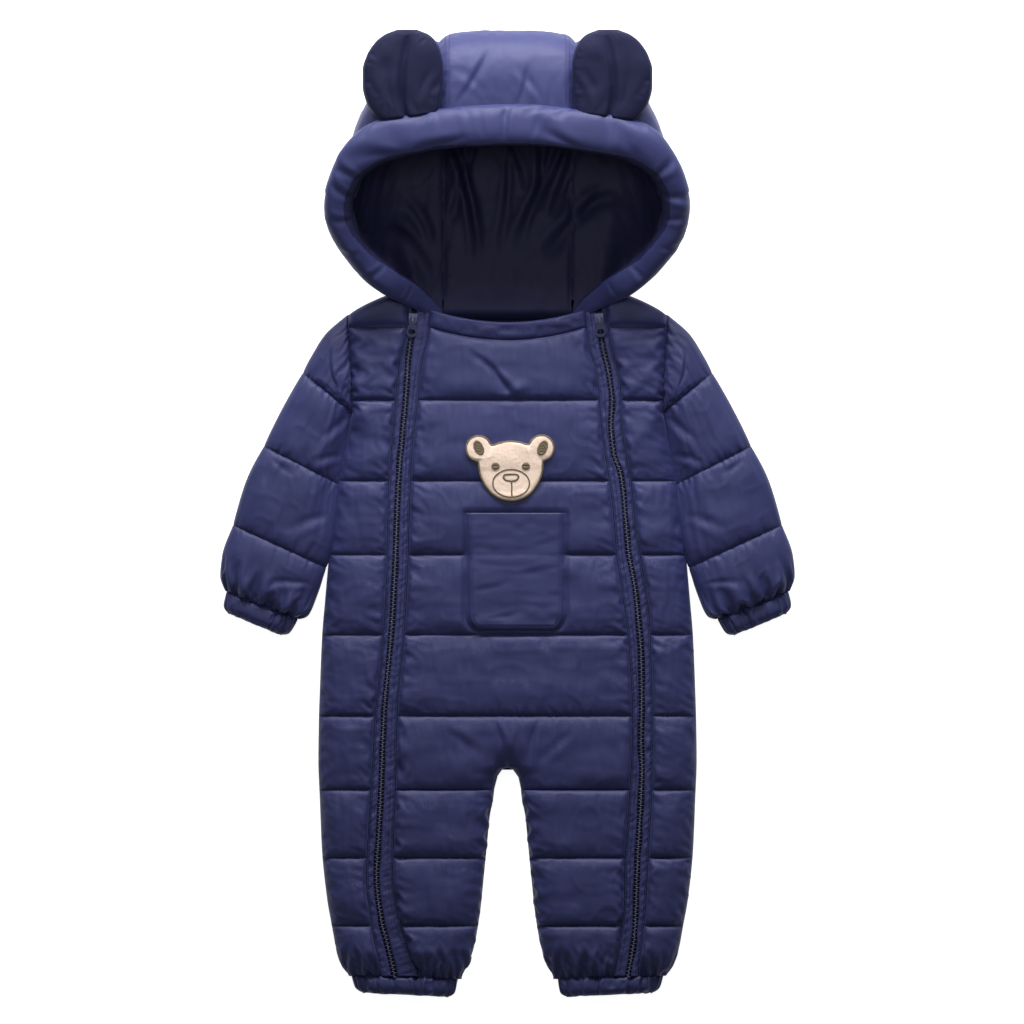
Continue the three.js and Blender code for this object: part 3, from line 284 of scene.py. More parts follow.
class Creases:
    """Short folds in cloth, each a valley with a soft ridge beside it, laid over a surface by x and y."""

    def __init__(self, seed):
        self.random = np.random.default_rng(seed)
        self.folds = []

    def fold(self, x, y, angle, length, width, depth, bend=0.0, free=True):
        self.folds.append((x, y, math.radians(angle), length, width, depth, bend, free))

    def table(self, rows, bend):
        for row in rows:
            self.fold(*row, bend)

    def along(self, x, y, normal, pitch, length, width, depth, spread=28, sides=(1, -1)):
        """Puckers that start on a line of stitching through x and y and run off to either side of it."""
        path = np.column_stack(np.broadcast_arrays(x, y)).astype(float)
        normals = np.broadcast_to(normal, path.shape)
        travelled = travel(path)
        for side in sides:
            at = self.random.uniform(0, pitch)
            while at < travelled[-1]:
                start_x, start_y = at_distance(at, travelled, path)
                normal_x, normal_y = side * at_distance(at, travelled, normals)
                angle = math.degrees(math.atan2(normal_y, normal_x)) + self.random.normal(0, spread / 2)
                size = self.random.uniform(0.35, 1) ** 1.3
                self.fold(
                    start_x, start_y, angle, length * size * self.random.uniform(0.7, 1.2),
                    width * self.random.uniform(0.7, 1.4), depth * size,
                    self.random.normal(0, 0.12), free=False,
                )
                at += pitch * self.random.uniform(0.4, 1.9)

    def __call__(self, x, y):
        x, y = np.broadcast_arrays(np.asarray(x, float), np.asarray(y, float))
        total = np.zeros(x.shape)
        for x0, y0, angle, length, width, depth, bend, free in self.folds:
            reach = length + 4 * width
            near = (np.abs(x - x0) < reach) & (np.abs(y - y0) < reach)
            if not near.any():
                continue
            dx, dy = x[near] - x0, y[near] - y0
            u = dx * math.cos(angle) + dy * math.sin(angle)
            v = -dx * math.sin(angle) + dy * math.cos(angle) - bend * u * u / length
            t = u / length
            if free:
                run = np.where((t > 0) & (t < 1), np.sin(np.pi * np.clip(t, 0, 1)), 0)
            else:
                run = np.where(t > -0.1, np.clip(1 - t, 0, 1) ** 1.3 * smooth(-0.1, 0.12, t), 0)
            wide = width * (0.7 + 0.6 * np.clip(t, 0, 1))
            total[near] += depth * run * (0.55 * bell(v - 1.9 * wide, wide) - bell(v, wide))
        return total


# Meshes


def to_metres(points):
    points = np.asarray(points, float).reshape(-1, 3).copy()
    points[:, 1] += SHIFT_Y
    return points * 0.001


def new_object(name, points, faces, materials, flat_faces=0, face_materials=None):
    """A mesh object of a closed body. The last flat_faces faces are shaded flat."""
    points = to_metres(points)
    points[:, 2] = np.maximum(points[:, 2], 0)
    mesh = bpy.data.meshes.new(name)
    mesh.from_pydata(points.tolist(), [], faces)
    shading = np.ones(len(faces), bool)
    if flat_faces:
        shading[-flat_faces:] = False
    mesh.polygons.foreach_set("use_smooth", shading)
    for material in materials if isinstance(materials, (list, tuple)) else [materials]:
        mesh.materials.append(material)
    if face_materials is not None:
        mesh.polygons.foreach_set("material_index", np.asarray(face_materials, np.int32))
    turned = bmesh.new()
    turned.from_mesh(mesh)
    bmesh.ops.recalc_face_normals(turned, faces=turned.faces)
    turned.to_mesh(mesh)
    turned.free()
    mesh.update()
    piece = bpy.data.objects.new(name, mesh)
    bpy.context.scene.collection.objects.link(piece)
    return piece


def dress(piece, slot, *nodes, body="garment"):
    """Attaches a piece to the body that it rides on and hides the CAD nodes that it stands for. slot is not
    used.
    """
    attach(piece, body)
    if nodes:
        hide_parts(*nodes)


def soft(piece, node, slot="shell"):
    """A piece of cloth on the garment, in place of the CAD node that it stands for."""
    dress(piece, slot, node)


def grid_faces(rows, columns, first=0, wrap=False):
    r, c = np.meshgrid(np.arange(rows - 1), np.arange(columns if wrap else columns - 1), indexing="ij")
    following = (c + 1) % columns
    a = first + r * columns + c
    b = first + (r + 1) * columns + c
    d = first + r * columns + following
    e = first + (r + 1) * columns + following
    return np.stack([a, b, e, d], -1).reshape(-1, 4)


def panel_piece(name, P, base, material, base_columns=24, base_material=None, walls_painted_shade=False):
    """A closed panel: its surface is the grid P, and its other side is flat at the height base."""
    rows, columns = P.shape[:2]
    chosen = np.unique(np.linspace(0, columns - 1, min(base_columns, columns)).round().astype(int))
    B = P[:, chosen].copy()
    B[..., 2] = base
    points = np.concatenate([P.reshape(-1, 3), B.reshape(-1, 3)])
    first, few = rows * columns, len(chosen)
    surface = grid_faces(rows, columns).tolist()
    other = grid_faces(rows, few, first=first)[:, ::-1].tolist()
    walls = []
    for i in range(rows - 1):
        for fine, coarse in ((0, 0), (columns - 1, few - 1)):
            a, b = i * columns + fine, first + i * few + coarse
            walls.append((a, a + columns, b + few, b))
    for row in (0, rows - 1):
        for k in range(few - 1):
            top = [row * columns + c for c in range(chosen[k], chosen[k + 1] + 1)]
            walls.append((*top, first + row * few + k + 1, first + row * few + k))
    materials = [material] + ([base_material] if base_material else [])
    last = len(materials) - 1
    # With this flag set the walls take the dark base material, which paints the shadow in the gap beside the
    # panel.
    which = [0] * len(surface) + [last] * len(other) + [last if walls_painted_shade else 0] * len(walls)
    flat = len(other) + len(walls)
    return new_object(name, points, surface + other + walls, materials, flat_faces=flat, face_materials=which)


def grid_normals(P, wrap=False):
    along = np.gradient(P, axis=0)
    if wrap:
        across = (np.roll(P, -1, axis=1) - np.roll(P, 1, axis=1)) / 2
    else:
        across = np.gradient(P, axis=1)
    normal = np.cross(along, across)
    return normal / np.maximum(1e-9, np.linalg.norm(normal, axis=2, keepdims=True))


def turned_outward(normals, outward):
    """The normals, each turned to the side that outward points to."""
    return normals * np.where(np.sum(normals * outward, axis=-1, keepdims=True) < 0, -1, 1)


def tube_piece(name, P, material, second=None):
    """A closed tube through the rings P[i]. second marks the faces that have the second material."""
    rows, columns = P.shape[:2]
    points = P.reshape(-1, 3)
    faces = grid_faces(rows, columns, wrap=True).tolist()
    ends = [tuple(range(columns)), tuple(range(rows * columns - 1, (rows - 1) * columns - 1, -1))]
    which = None if second is None else np.concatenate([second.ravel(), [0, 0]])
    return new_object(name, points, faces + ends, material, flat_faces=2, face_materials=which)



def pinned(shape):
    """How freely each point of a grid of cloth moves: not at all along its border, which is sewn down."""
    free = np.zeros(shape)
    free[1:-1, 1:-1] = 1
    return free


def settle(P, free, across, along, wrap=False, steps=150, bend=0.12, hold=0.004, cap=5.0):
    """Lets cloth that is cut larger than the place it is sewn to buckle into folds.

    Every point of the grid P is held to its neighbours at their distance times across or along, which is
    how much larger the cloth is. A point where free is 0 is sewn down, and hold is the pull of the filling.
    """
    rows, columns = P.shape[:2]
    weight = np.broadcast_to(free, (rows, columns))[..., None].astype(float)
    across, along = (np.broadcast_to(g, (rows, columns)) for g in (across, along))
    both = (across + along) / 2

    def ends(X, down, over):
        if wrap:
            return X[: rows - down], np.roll(X, -over, axis=1)[down:]
        low, high = max(0, -over), columns - max(0, over)
        return X[: rows - down, low:high], X[down:, low + over : high + over]

    ties = []
    for down, over, strength, larger in (
        (0, 1, 0.45, across), (1, 0, 0.45, along), (1, 1, 0.2, both), (1, -1, 0.2, both),
        (0, 2, bend, across), (2, 0, bend, along),
        (0, 4, bend / 2, across * 0.995), (4, 0, bend / 2, along * 0.995),
    ):
        p, q = ends(P, down, over)
        ties.append((down, over, strength, ends(larger, down, over)[0] * np.linalg.norm(q - p, axis=2)))
    X, motion = P.copy(), np.zeros_like(P)
    for _ in range(steps):
        before = X
        X = X + (motion + (P - X) * hold) * weight
        for down, over, strength, rest in ties:
            p, q = ends(X, down, over)
            span = q - p
            length = np.linalg.norm(span, axis=2)
            push = ((length - rest) / np.maximum(length, 1e-6) * (0.5 * strength))[..., None] * span
            if wrap:
                back = np.zeros_like(X)
                back[down:] = push
                X[: rows - down] += push * weight[: rows - down]
                X -= np.roll(back, over, axis=1) * weight
            else:
                low, high = max(0, -over), columns - max(0, over)
                X[: rows - down, low:high] += push * weight[: rows - down, low:high]
                X[down:, low + over : high + over] -= push * weight[down:, low + over : high + over]
        motion = (X - before) * 0.92
    moved = X - P
    size = np.linalg.norm(moved, axis=2, keepdims=True)
    return P + moved * np.minimum(1, cap / np.maximum(size, 1e-9))


# Materials


class Look:
    """A material that is being put together. Its textures lie in the object's own coordinates."""

    def __init__(self, name, sockets):
        self.material = bpy.data.materials.new(name)
        self.material.use_nodes = True
        self.tree = self.material.node_tree
        self.shader = self.tree.nodes["Principled BSDF"]
        self.fill(self.shader, sockets)
        self.place = self.tree.nodes.new("ShaderNodeTexCoord").outputs["Object"]
        self.normal = None

    def fill(self, node, sockets):
        for key, value in sockets.items():
            node.inputs[key].default_value = value

    def join(self, output, node, key):
        self.tree.links.new(output, node.inputs[key])

    def texture(self, kind, scale, **sockets):
        node = self.tree.nodes.new(kind)
        self.join(self.place, node, "Vector")
        self.fill(node, {"Scale": scale, **sockets})
        return node.outputs["Fac"]

    def stretched(self, value, low, high):
        """A value from 0 to 1 mapped to the range from low to high."""
        node = self.tree.nodes.new("ShaderNodeMapRange")
        self.fill(node, {"To Min": low, "To Max": high})
        self.join(value, node, "Value")
        return node.outputs["Result"]

    def color(self, color, value, variation):
        """The base colour, made lighter and darker by a share of itself."""
        node = self.tree.nodes.new("ShaderNodeVectorMath")
        node.operation = "SCALE"
        node.inputs[0].default_value = color
        self.join(self.stretched(value, 1 - variation, 1 + variation), node, "Scale")
        self.join(node.outputs["Vector"], self.shader, "Base Color")

    def bump(self, value, distance, strength):
        """A bump on top of those before it."""
        node = self.tree.nodes.new("ShaderNodeBump")
        self.fill(node, {"Distance": distance, "Strength": strength})
        self.join(value, node, "Height")
        if self.normal is not None:
            self.join(self.normal, node, "Normal")
        self.normal = node.outputs["Normal"]
        self.join(self.normal, self.shader, "Normal")


def cloth_material(name, color, roughness, weave, crumple, sheen=0.0, specular=0.4):
    """Woven cloth: a fine weave and soft crumpling as bump, and a little variation of colour."""
    look = Look(name, {
        "Roughness": roughness, "Specular IOR Level": specular,
        "Sheen Weight": sheen, "Sheen Roughness": 0.4, "Sheen Tint": (0.55, 0.6, 1.0, 1),
    })
    look.color(color, look.texture("ShaderNodeTexNoise", 16, Detail=3.0), 0.12)
    depth = 0.0004
    look.bump(look.texture("ShaderNodeTexNoise", 110, Detail=4.0, Roughness=0.6), depth, crumple)
    look.bump(look.texture("ShaderNodeTexNoise", 420, Detail=2.0), depth, crumple * 0.35)
    look.bump(look.texture("ShaderNodeTexWave", 700, Distortion=0.6), depth, weave)
    return look.material


def plain_material(name, color, roughness, metallic=0.0, specular=0.5, grain=0.1, scale=900):
    """A hard or thread material with a fine grain."""
    look = Look(name, {"Metallic": metallic, "Specular IOR Level": specular})
    speck = look.texture("ShaderNodeTexNoise", scale)
    look.color(color, speck, 2 * grain)
    look.join(look.stretched(speck, roughness - 0.08, roughness + 0.08), look.shader, "Roughness")
    look.bump(speck, 0.0002, grain * 2)
    return look.material


SHELL = cloth_material("navy_taffeta", (0.0152, 0.0188, 0.080), 0.58, 0.12, 0.2, sheen=0.13, specular=0.32)
# The ears' cloth is the shell's navy made darker: painted shade, so that the ears look turned away from the
# light.
EAR_PAINTED_SHADE = cloth_material(
    "navy_taffeta_painted_shade", (0.006, 0.0073, 0.03), 0.62, 0.12, 0.2, sheen=0.06, specular=0.18,
)
LINING = cloth_material("dark_lining", (0.0105, 0.0108, 0.036), 0.6, 0.12, 0.3, specular=0.14)
PLUSH = plain_material("cream_fleece", (0.6, 0.475, 0.39), 0.9, specular=0.1, grain=0.09, scale=1100)
# The back's lining is darker than the hood's. Its dark paints the shade that the hood casts into the neck
# opening. The pocket's walls take it as well, as a painted shadow in the gap at the pocket's mouth.
PAINTED_SHADE_LINING = cloth_material("lining_with_painted_shade", (0.004, 0.0044, 0.016), 0.8, 0.12, 0.4, specular=0.08)
# The thread is darker than the shell. This is partly the thread's own navy and partly painted shade of the
# cloth pulled in along the stitches.
SHADE_PAINTED_THREAD = plain_material("thread_with_painted_shade", (0.006, 0.007, 0.028), 0.6, specular=0.25)
BROWN = plain_material("brown_thread", (0.13, 0.098, 0.062), 0.65, specular=0.3)
TEETH = plain_material("zip_nylon", (0.021, 0.024, 0.062), 0.4, specular=0.5)
TAPE = cloth_material("zip_tape", (0.0055, 0.0065, 0.02), 0.7, 0.3, 0.3, specular=0.2)
METAL = plain_material("slider_paint", (0.024, 0.028, 0.08), 0.38, metallic=0.35, grain=0.05)


# The outline, as in the part

side_below_arm = through(SIDE_FOLD)
inside_leg = through(INSIDE_LEG)


def side_of(y):
    y = np.asarray(y, float)
    above = mix(ARMPIT[0], SHOULDER_TIP[0], (y - ARMPIT[1]) / (SHOULDER_TIP[1] - ARMPIT[1]))
    return np.where(y <= ARMPIT[1], side_below_arm(y), above)


def front_top(x):
    across = np.abs(x)
    neck = NECK_DROP_Y + (SHOULDER_Y - NECK_DROP_Y) * (across / NECK_HALF_WIDTH) ** 2
    along = np.clip((across - NECK_HALF_WIDTH) / (SHOULDER_TIP[0] - NECK_HALF_WIDTH), 0, 1)
    round_off = 8 * (1 - along**2.2) ** 0.6 * smooth(0, 0.22, along)
    return np.where(across <= NECK_HALF_WIDTH, neck, mix(SHOULDER_Y, SHOULDER_TIP[1], along) + round_off)


def back_top(x):
    return front_top(np.maximum(np.abs(x), NECK_HALF_WIDTH))


def neck_band_seam(x):
    return front_top(x) - NECK_BAND


def crotch_arch(x):
    half = inside_leg(LEG_TOP_Y)
    share = np.clip(np.abs(x) / half, 0, 1)
    return mix(CROTCH_Y, LEG_TOP_Y, 1 - np.sqrt(1 - share**2))


def cuff_seam(x):
    return CUFF_SEAM_Y - 3 * np.clip((147 - np.abs(x)) / 100, 0, 1)


def level(y):
    return lambda x: np.full(np.shape(x), float(y))


class Zip:
    def __init__(self, table):
        self.side = 1 if table[0][1] > 0 else -1
        self.teeth = through(table, 1)
        self.outer, self.inner = through(table, 2), through(table, 3)

    def outer_edge(self, y):
        return self.teeth(y) + self.side * self.outer(y)

    def inner_edge(self, y):
        return self.teeth(y) - self.side * self.inner(y)


ZIPS = {"right": Zip(ZIP_RIGHT), "left": Zip(ZIP_LEFT)}
LINES = [level(y) for y in BODY_LINES]
LEGS = [level(y) for y in LEG_LINES]


# Padding


def inside_outline(x, y):
    """How full the padding is beside the body's folded sides and the crotch, from 0 at them to 1."""
    below_arm = np.clip((ARMPIT[1] - y) / 25, 0, 1)
    reach = np.where(y > ARMPIT[1], SEAM_ROUNDING, mix(SEAM_ROUNDING, SIDE_ROUNDING, below_arm))
    fold = rounded(side_of(y) - np.abs(x), reach)
    from_crotch = np.where(y > CROTCH_Y, np.hypot(x, y - CROTCH_Y), np.abs(x) - inside_leg(y))
    return fold * rounded(from_crotch, SIDE_ROUNDING)


def across_lines(lines, x, y):
    """Which quilted tube a place is in, and how far down it, from 0 to 1."""
    s = np.zeros(np.shape(x))
    for upper, lower in zip(lines, lines[1:]):
        top, bottom = upper(x), lower(x)
        inside = (y <= top) & (y > bottom)
        s = np.where(inside, (top - y) / (top - bottom), s)
    return s


def undulation(x, y, seed):
    """Soft unevenness of the filling, and the slight crumpling of light cloth over it."""
    slow = 0.9 * noise(x / 46, y / 24, seed) + 0.45 * noise(x / 19, y / 13, seed + 1)
    ridge = (1 - np.abs(noise(x / 24 + 0.3 * noise(x / 30, y / 30, seed + 3), y / 15, seed + 2))) ** 4
    return slow + 0.45 * ridge


def beside_pocket(x, y):
    """The distance outside the pocket's outline, negative inside it."""
    middle, half = (POCKET["left"] + POCKET["right"]) / 2 + 0.5, (POCKET["right"] - POCKET["left"]) / 2 - 1
    centre_y, tall = (POCKET["top"] + POCKET["bottom"]) / 2, (POCKET["top"] - POCKET["bottom"]) / 2
    radius = np.where(y < -60, POCKET["radius"], 0.5)
    dx, dy = np.abs(x - middle) - half + radius, np.abs(y - centre_y) - tall + radius
    return np.hypot(np.maximum(dx, 0), np.maximum(dy, 0)) + np.minimum(np.maximum(dx, dy), 0) - radius


def covered(x, y):
    """0 under the pocket and the bear patch, where cloth has no folds of its own, and 1 away from them."""
    beside = np.maximum(np.abs(x - 7) - 46, np.maximum(y - 1, -109 - y))
    bear = np.minimum(np.hypot(x - 3, (y - 41) * 1.15) - 33, np.hypot(np.abs(x - 3) - 28, y - 62) - 12)
    return smooth(-3, 5, np.minimum(beside, bear))


class Panel:
    """A quilted panel of the front or back between two side edges and a row of lines of stitching."""

    def __init__(self, name, lines, left, right, seed, front=True):
        self.name, self.lines, self.left, self.right = name, lines, left, right
        self.front, self.seed = front, seed
        self.creases = Creases(seed)

    def height(self, x, y):
        s = across_lines(self.lines, x, y)
        inside = inside_outline(x, y)
        at_fold = side_of(y) - np.abs(x) < 20
        from_left = x - self.left(y) + np.where(at_fold & (x < 0), FAR, 0)
        from_right = self.right(y) - x + np.where(at_fold & (x > 0), FAR, 0)
        at_leg = (y < CROTCH_Y) & (np.abs(x) - inside_leg(y) < 20)
        edge = np.where(at_leg, FAR, np.minimum(from_left, from_right))
        rim = mix(SEAM_RISE, 0.3, smooth(0, 25, ARMPIT[1] - y))
        rise = mix(rim, SEAM_RISE, inside)
        if not self.front:
            rise = rise + NECK_RISE * np.clip((y - YOKE_LINE) / (SHOULDER_Y - YOKE_LINE), 0, 1)
            full = np.minimum(1, 1.15 * puff(s)) * np.minimum(1, inside * 1.1)
            depth = rise + (BACK_LOFT - SEAM_RISE) * full
            return np.maximum(0, MID - depth - 0.4 * self.creases(x, y) * inside)
        at_cuff = smooth(-408, CUFF_SEAM_Y, y)
        sewn = rise + (SEWN_RISE - SEAM_RISE) * inside * rounded(edge + 2, 6) * (1 - at_cuff)
        loft = (FRONT_LOFT - SEWN_RISE) * puff(s) * inside * (0.3 + 0.7 * rounded(edge, 10))
        soft_part = np.clip(loft / 3, 0, 1) * inside
        if self.name == "front_centre":
            held_down = np.exp(-((np.maximum(beside_pocket(x, y) - 0.3, 0) / 1.9) ** 1.5))
            loft = loft - np.minimum(loft * 0.7, 2.3 * held_down)
        uneven = soft_part * undulation(x, y, self.seed)
        return MID + sewn + loft + uneven + np.clip(loft / 2 + 0.15, 0, 1) * self.creases(x, y)

    def grid(self, columns, rows=TUBE_ROWS):
        """The panel's points: a column for each share of its width, and rows more for a taller tube."""
        share = columns[None, :]
        parts = []
        for k, (upper, lower) in enumerate(zip(self.lines, self.lines[1:])):
            tall = abs(float(upper(np.array(0.0)) - lower(np.array(0.0))))
            count = max(6, int(rows * tall / 72))
            steps = np.arange(count + 1)
            s = mix(eased(np.pi * steps / count), steps / count, 0.35)[1 if k else 0 :, None]
            y = upper(np.zeros_like(share)) * (1 - s) + lower(np.zeros_like(share)) * s
            for _ in range(5):
                x = mix(self.left(y), self.right(y), share)
                y = mix(upper(x), lower(x), s)
            parts.append(np.stack([x, y], -1))
        plan = np.concatenate(parts)
        x, y = plan[..., 0], plan[..., 1]
        return np.stack([x, y, self.height(x, y)], -1)

    def settled(self, P):
        """The panel with the folds that its cloth falls into between its lines of stitching."""
        x, y = P[..., 0], P[..., 1]
        s = across_lines(self.lines, x, y)
        tall = np.abs(np.gradient(y, axis=0)).sum(axis=0).mean() / (len(self.lines) - 1)
        from_line = np.minimum(s, 1 - s) * tall
        from_left, from_right = x - self.left(y), self.right(y) - x
        from_edge = np.minimum(from_left, from_right)
        from_side = side_of(y) - np.abs(x)
        patch = np.clip(0.75 + 0.9 * noise(x / 34, y / 26, self.seed + 7), 0.05, 2)
        near_line, near_edge = np.exp(-from_line / 8.0), np.exp(-from_edge / 7.0)
        cuff = smooth(-400, CUFF_SEAM_Y + 8, y)
        arm = np.exp(-np.abs(from_side) / 16) * (y > ARMPIT[1] - 8)
        across = 0.003 + (0.018 * near_line + 0.012 * near_edge) * patch + 0.13 * cuff + 0.02 * arm
        along = 0.002 + (0.004 * near_line + 0.075 * near_edge) * patch + 0.06 * arm + 0.01 * cuff
        free = np.where(np.abs(s) < 1e-6, 0, pinned(x.shape))
        free = np.where(from_side < 3, 0.25 * free, free)
        slant = y + 0.35 * from_edge * np.where(from_left < from_right, 1, -1)
        tremble = 0.5 * noise(x / 4.5, y / 19, self.seed + 8) + 0.4 * noise(x / 9, y / 15, self.seed + 9)
        tremble += (
            near_edge * 1.5 * noise(x / 16, slant / 4.5, self.seed + 10)
            + cuff * 2.0 * noise(x / 9, y / 40, self.seed + 12)
        )
        open_cloth = covered(x, y)
        shaken = P.copy()
        from_stitches = np.clip(np.minimum(from_line, from_edge) / 5, 0, 1)
        shaken[..., 2] += tremble * from_stitches * 0.7 * free * open_cloth
        done = settle(shaken, free, 1 + across * open_cloth, 1 + along * open_cloth)
        return shaken + (done - shaken) * open_cloth[..., None]


def columns_for(width, left_fold, right_fold):
    """Shares across a front panel, closer together at an edge where the cloth is folded over."""
    count = int(width / FINE)
    t = np.arange(count + 1) / count
    start = eased(np.pi * t) if left_fold else t
    end = eased(np.pi * t) if right_fold else t
    return mix(t, mix(start, end, t), 0.8)


def mirrored(edge, sign):
    return lambda y: sign * edge(y)


right_inner, left_inner = ZIPS["right"].inner_edge, ZIPS["left"].inner_edge
centre = Panel("front_centre", [neck_band_seam, *LINES[:-1], crotch_arch], right_inner, left_inner, 11)
PANELS = {centre.name: centre}
# The long crease across the top of the chest, the pulls down to the crotch and the gathers over its seam
for row in CHEST_AND_CROTCH_FOLDS:
    centre.creases.fold(*row)
centre.creases.along(np.linspace(-26, 78, 20), BODY_LINES[4], (0, 1), 5, 15, 1.5, 1.1)

for side, zip_ in ZIPS.items():
    sign = zip_.side
    fold, leg = mirrored(side_of, sign), mirrored(inside_leg, sign)
    leg_lines = [level(LEG_TOP_Y), *LEGS, cuff_seam]
    # Each pair of edges is turned round on the right side, where the outer edge comes first.
    panel = Panel(
        f"front_side_{side}", [front_top, level(YOKE_LINE), *LINES, *LEGS, cuff_seam],
        *(zip_.outer_edge, fold)[::sign], 31 + sign,
    )
    arm = np.linspace(SHOULDER_TIP[1], ARMPIT[1], 30)
    panel.creases.along(fold(arm), arm, (-sign, 0), 9, 24, 2.2, 1.1, sides=(1,))
    PANELS[panel.name] = panel
    panel = Panel(f"front_leg_{side}", leg_lines, *(leg, zip_.inner_edge)[::sign], 51 + sign)
    down = np.linspace(-262, -430, 30)
    panel.creases.along(leg(down), down, (sign, -0.25), 15, 26, 2.6, 0.9, sides=(1,))
    PANELS[panel.name] = panel
    panel = Panel(f"back_leg_{side}", leg_lines, *(leg, fold)[::sign], 71 + sign, front=False)
    PANELS[panel.name] = panel
back_lines = [back_top, level(YOKE_LINE), *LINES[:-1], crotch_arch]
PANELS["back_body"] = Panel("back_body", back_lines, mirrored(side_of, -1), side_of, 91, front=False)

# Gathers run up from the leg cuffs into each panel that meets one
for name, panel in PANELS.items():
    if "side" in name or "leg" in name:
        for sign in (-1, 1):
            x = sign * np.linspace(46, 148, 40)
            on = (x > panel.left(-430) - 1) & (x < panel.right(-430) + 1)
            if on.sum() > 2:
                x = x[on]
                panel.creases.along(x, cuff_seam(x), (0, 1), 3.4, 26, 1.7, 1.7, spread=12, sides=(1,))

for name, panel in PANELS.items():
    base_columns = 70 if name in ("front_centre", "back_body") else 24
    if panel.front:
        down = np.linspace(150, panel.lines[-1](np.array(60.0)), 30)
        width = float(np.max(panel.right(down) - panel.left(down)))
        left_fold = name in ("front_side_right", "front_leg_left")
        right_fold = name in ("front_side_left", "front_leg_right")
        P = panel.settled(panel.grid(columns_for(width, left_fold, right_fold)))
        piece = panel_piece(f"cloth_{name}", P, MID - OVERLAP, SHELL, base_columns)
    else:
        count = int((350 if name == "back_body" else 160) / BACK_FINE)
        t = np.arange(count + 1) / count
        P = panel.grid(mix(t, eased(np.pi * t), 0.85), rows=BACK_TUBE_ROWS)
        # The back's inner side, seen in the neck opening, takes the darker lining as painted shade.
        piece = panel_piece(f"cloth_{name}", P, MID + OVERLAP, SHELL, base_columns, PAINTED_SHADE_LINING)
    soft(piece, name)


# Neckline band


def neck_band():
    rows, columns = 18, 110
    s = np.linspace(0, 1, rows)[:, None]
    share = np.linspace(0, 1, columns)[None, :]
    y = np.full((rows, columns), 182.0)
    for _ in range(6):
        x = mix(right_inner(y), left_inner(y), share)
        y = mix(front_top(x), neck_band_seam(x), s)
    ends = rounded(np.minimum(x - right_inner(y), left_inner(y) - x), 9)
    wave = 0.8 * noise(x / 17, y / 6, 5) + 0.4 * noise(x / 6, y / 9, 6)
    puckers = Creases(8)
    line = np.linspace(-74, 74, 40)
    puckers.along(line, neck_band_seam(line), (0, 1), 7, 10, 1.3, 0.8, sides=(1,))
    full = 2.4 * puff(s) + 2.8 * (1 - s) + 0.8 * wave * puff(s)
    z = MID + SEWN_RISE + full * ends + puckers(x, y) * puff(s)
    z = np.where(s < 0.01, SEAM_Z + 1.2, z)
    P = settle(np.stack([x, y, z], -1), pinned(x.shape), 1.012, 1.006, steps=90)
    soft(panel_piece("cloth_neck_band", P, MID - OVERLAP, SHELL, 50), "neck_band")


neck_band()


# Zips: bands, tape, teeth


class Band:
    """The strip of cloth between a zip's teeth and the stitching on one side of it."""

    def __init__(self, side, part, seed):
        self.zip, self.node = ZIPS[side], f"zip_band_{part}_{side}"
        self.away = self.zip.side if part == "outer" else -self.zip.side
        self.edge = self.zip.outer_edge if part == "outer" else self.zip.inner_edge
        self.insets = (1.8,) if part == "outer" else (1.8, 5.4)
        self.seed = seed

    def lip(self, y):
        """Where the band's folded edge lies. It wanders, so that the teeth show more or less."""
        return self.zip.teeth(y) + self.away * (2.75 + 0.75 * noise(y / 17, 0.5, self.seed))

    def height(self, x, y):
        t = np.clip((x - self.edge(y)) / (self.lip(y) - self.edge(y)), 0, 1)
        from_edge = np.abs(x - self.edge(y))
        sewn = sum(0.55 * bell(from_edge - inset, 0.55) for inset in self.insets)
        body = 4.0 + 0.7 * (1 - np.abs(2 * t - 1) ** 3) ** 0.5 - 1.2 * np.exp(-from_edge / 0.7)
        return SEAM_Z + body - sewn + 0.4 * noise(y / 9, t * 2, self.seed + 1) * t * (1 - t) * 4

    def piece(self):
        rows = np.arange(200, CUFF_SEAM_Y - 1, -1.4)
        share = np.linspace(0, 1, 22)[None, :]
        x = mix(self.edge(rows[:, None]), self.lip(rows[:, None]), share)
        y = np.broadcast_to(rows[:, None], x.shape)
        y = np.where(y > front_top(x) - 2, front_top(x) - 2, y)
        z = self.height(x, y)
        z += 0.3 * noise(y / 2.6 + 2 * share * self.away, share * 2, self.seed + 4) * share * (1 - share) * 4
        P = np.stack([x, y, z], -1)[rows < np.max(front_top(x), axis=1)]
        free = pinned(P.shape[:2])
        free[:, -1] = 0.3
        from_edge = np.abs(P[..., 0] - self.edge(P[..., 1]))
        for inset in self.insets:
            free[np.abs(from_edge - inset) < 0.3] = 0.25
        patch = np.clip(1 + 0.8 * noise(P[..., 1] / 25, share, self.seed + 5), 0.2, 2)
        P = settle(P, free, 1.0, 1 + 0.012 * patch, steps=110, bend=0.2, cap=1.2)
        P[..., 2] = np.minimum(P[..., 2], SEAM_Z + 5.6)
        P[:, -1, 2] -= 1.2
        soft(panel_piece(f"cloth_{self.node}", P, MID - OVERLAP, SHELL, 4), self.node)


BANDS = []
for k, side in enumerate(ZIPS):
    for part, seed in (("outer", 120), ("inner", 123)):
        band = Band(side, part, seed + 7 * k)
        band.piece()
        BANDS.append(band)


def ring_faces(rings, around):
    """The faces of a small closed body through rings of points."""
    faces = [(*range(around - 1, -1, -1),)]
    for first in range(0, (rings - 1) * around, around):
        for i in range(around):
            a, b = first + i, first + (i + 1) % around
            faces.append((a, b, b + around, a + around))
    faces.append((*range((rings - 1) * around, rings * around),))
    return faces


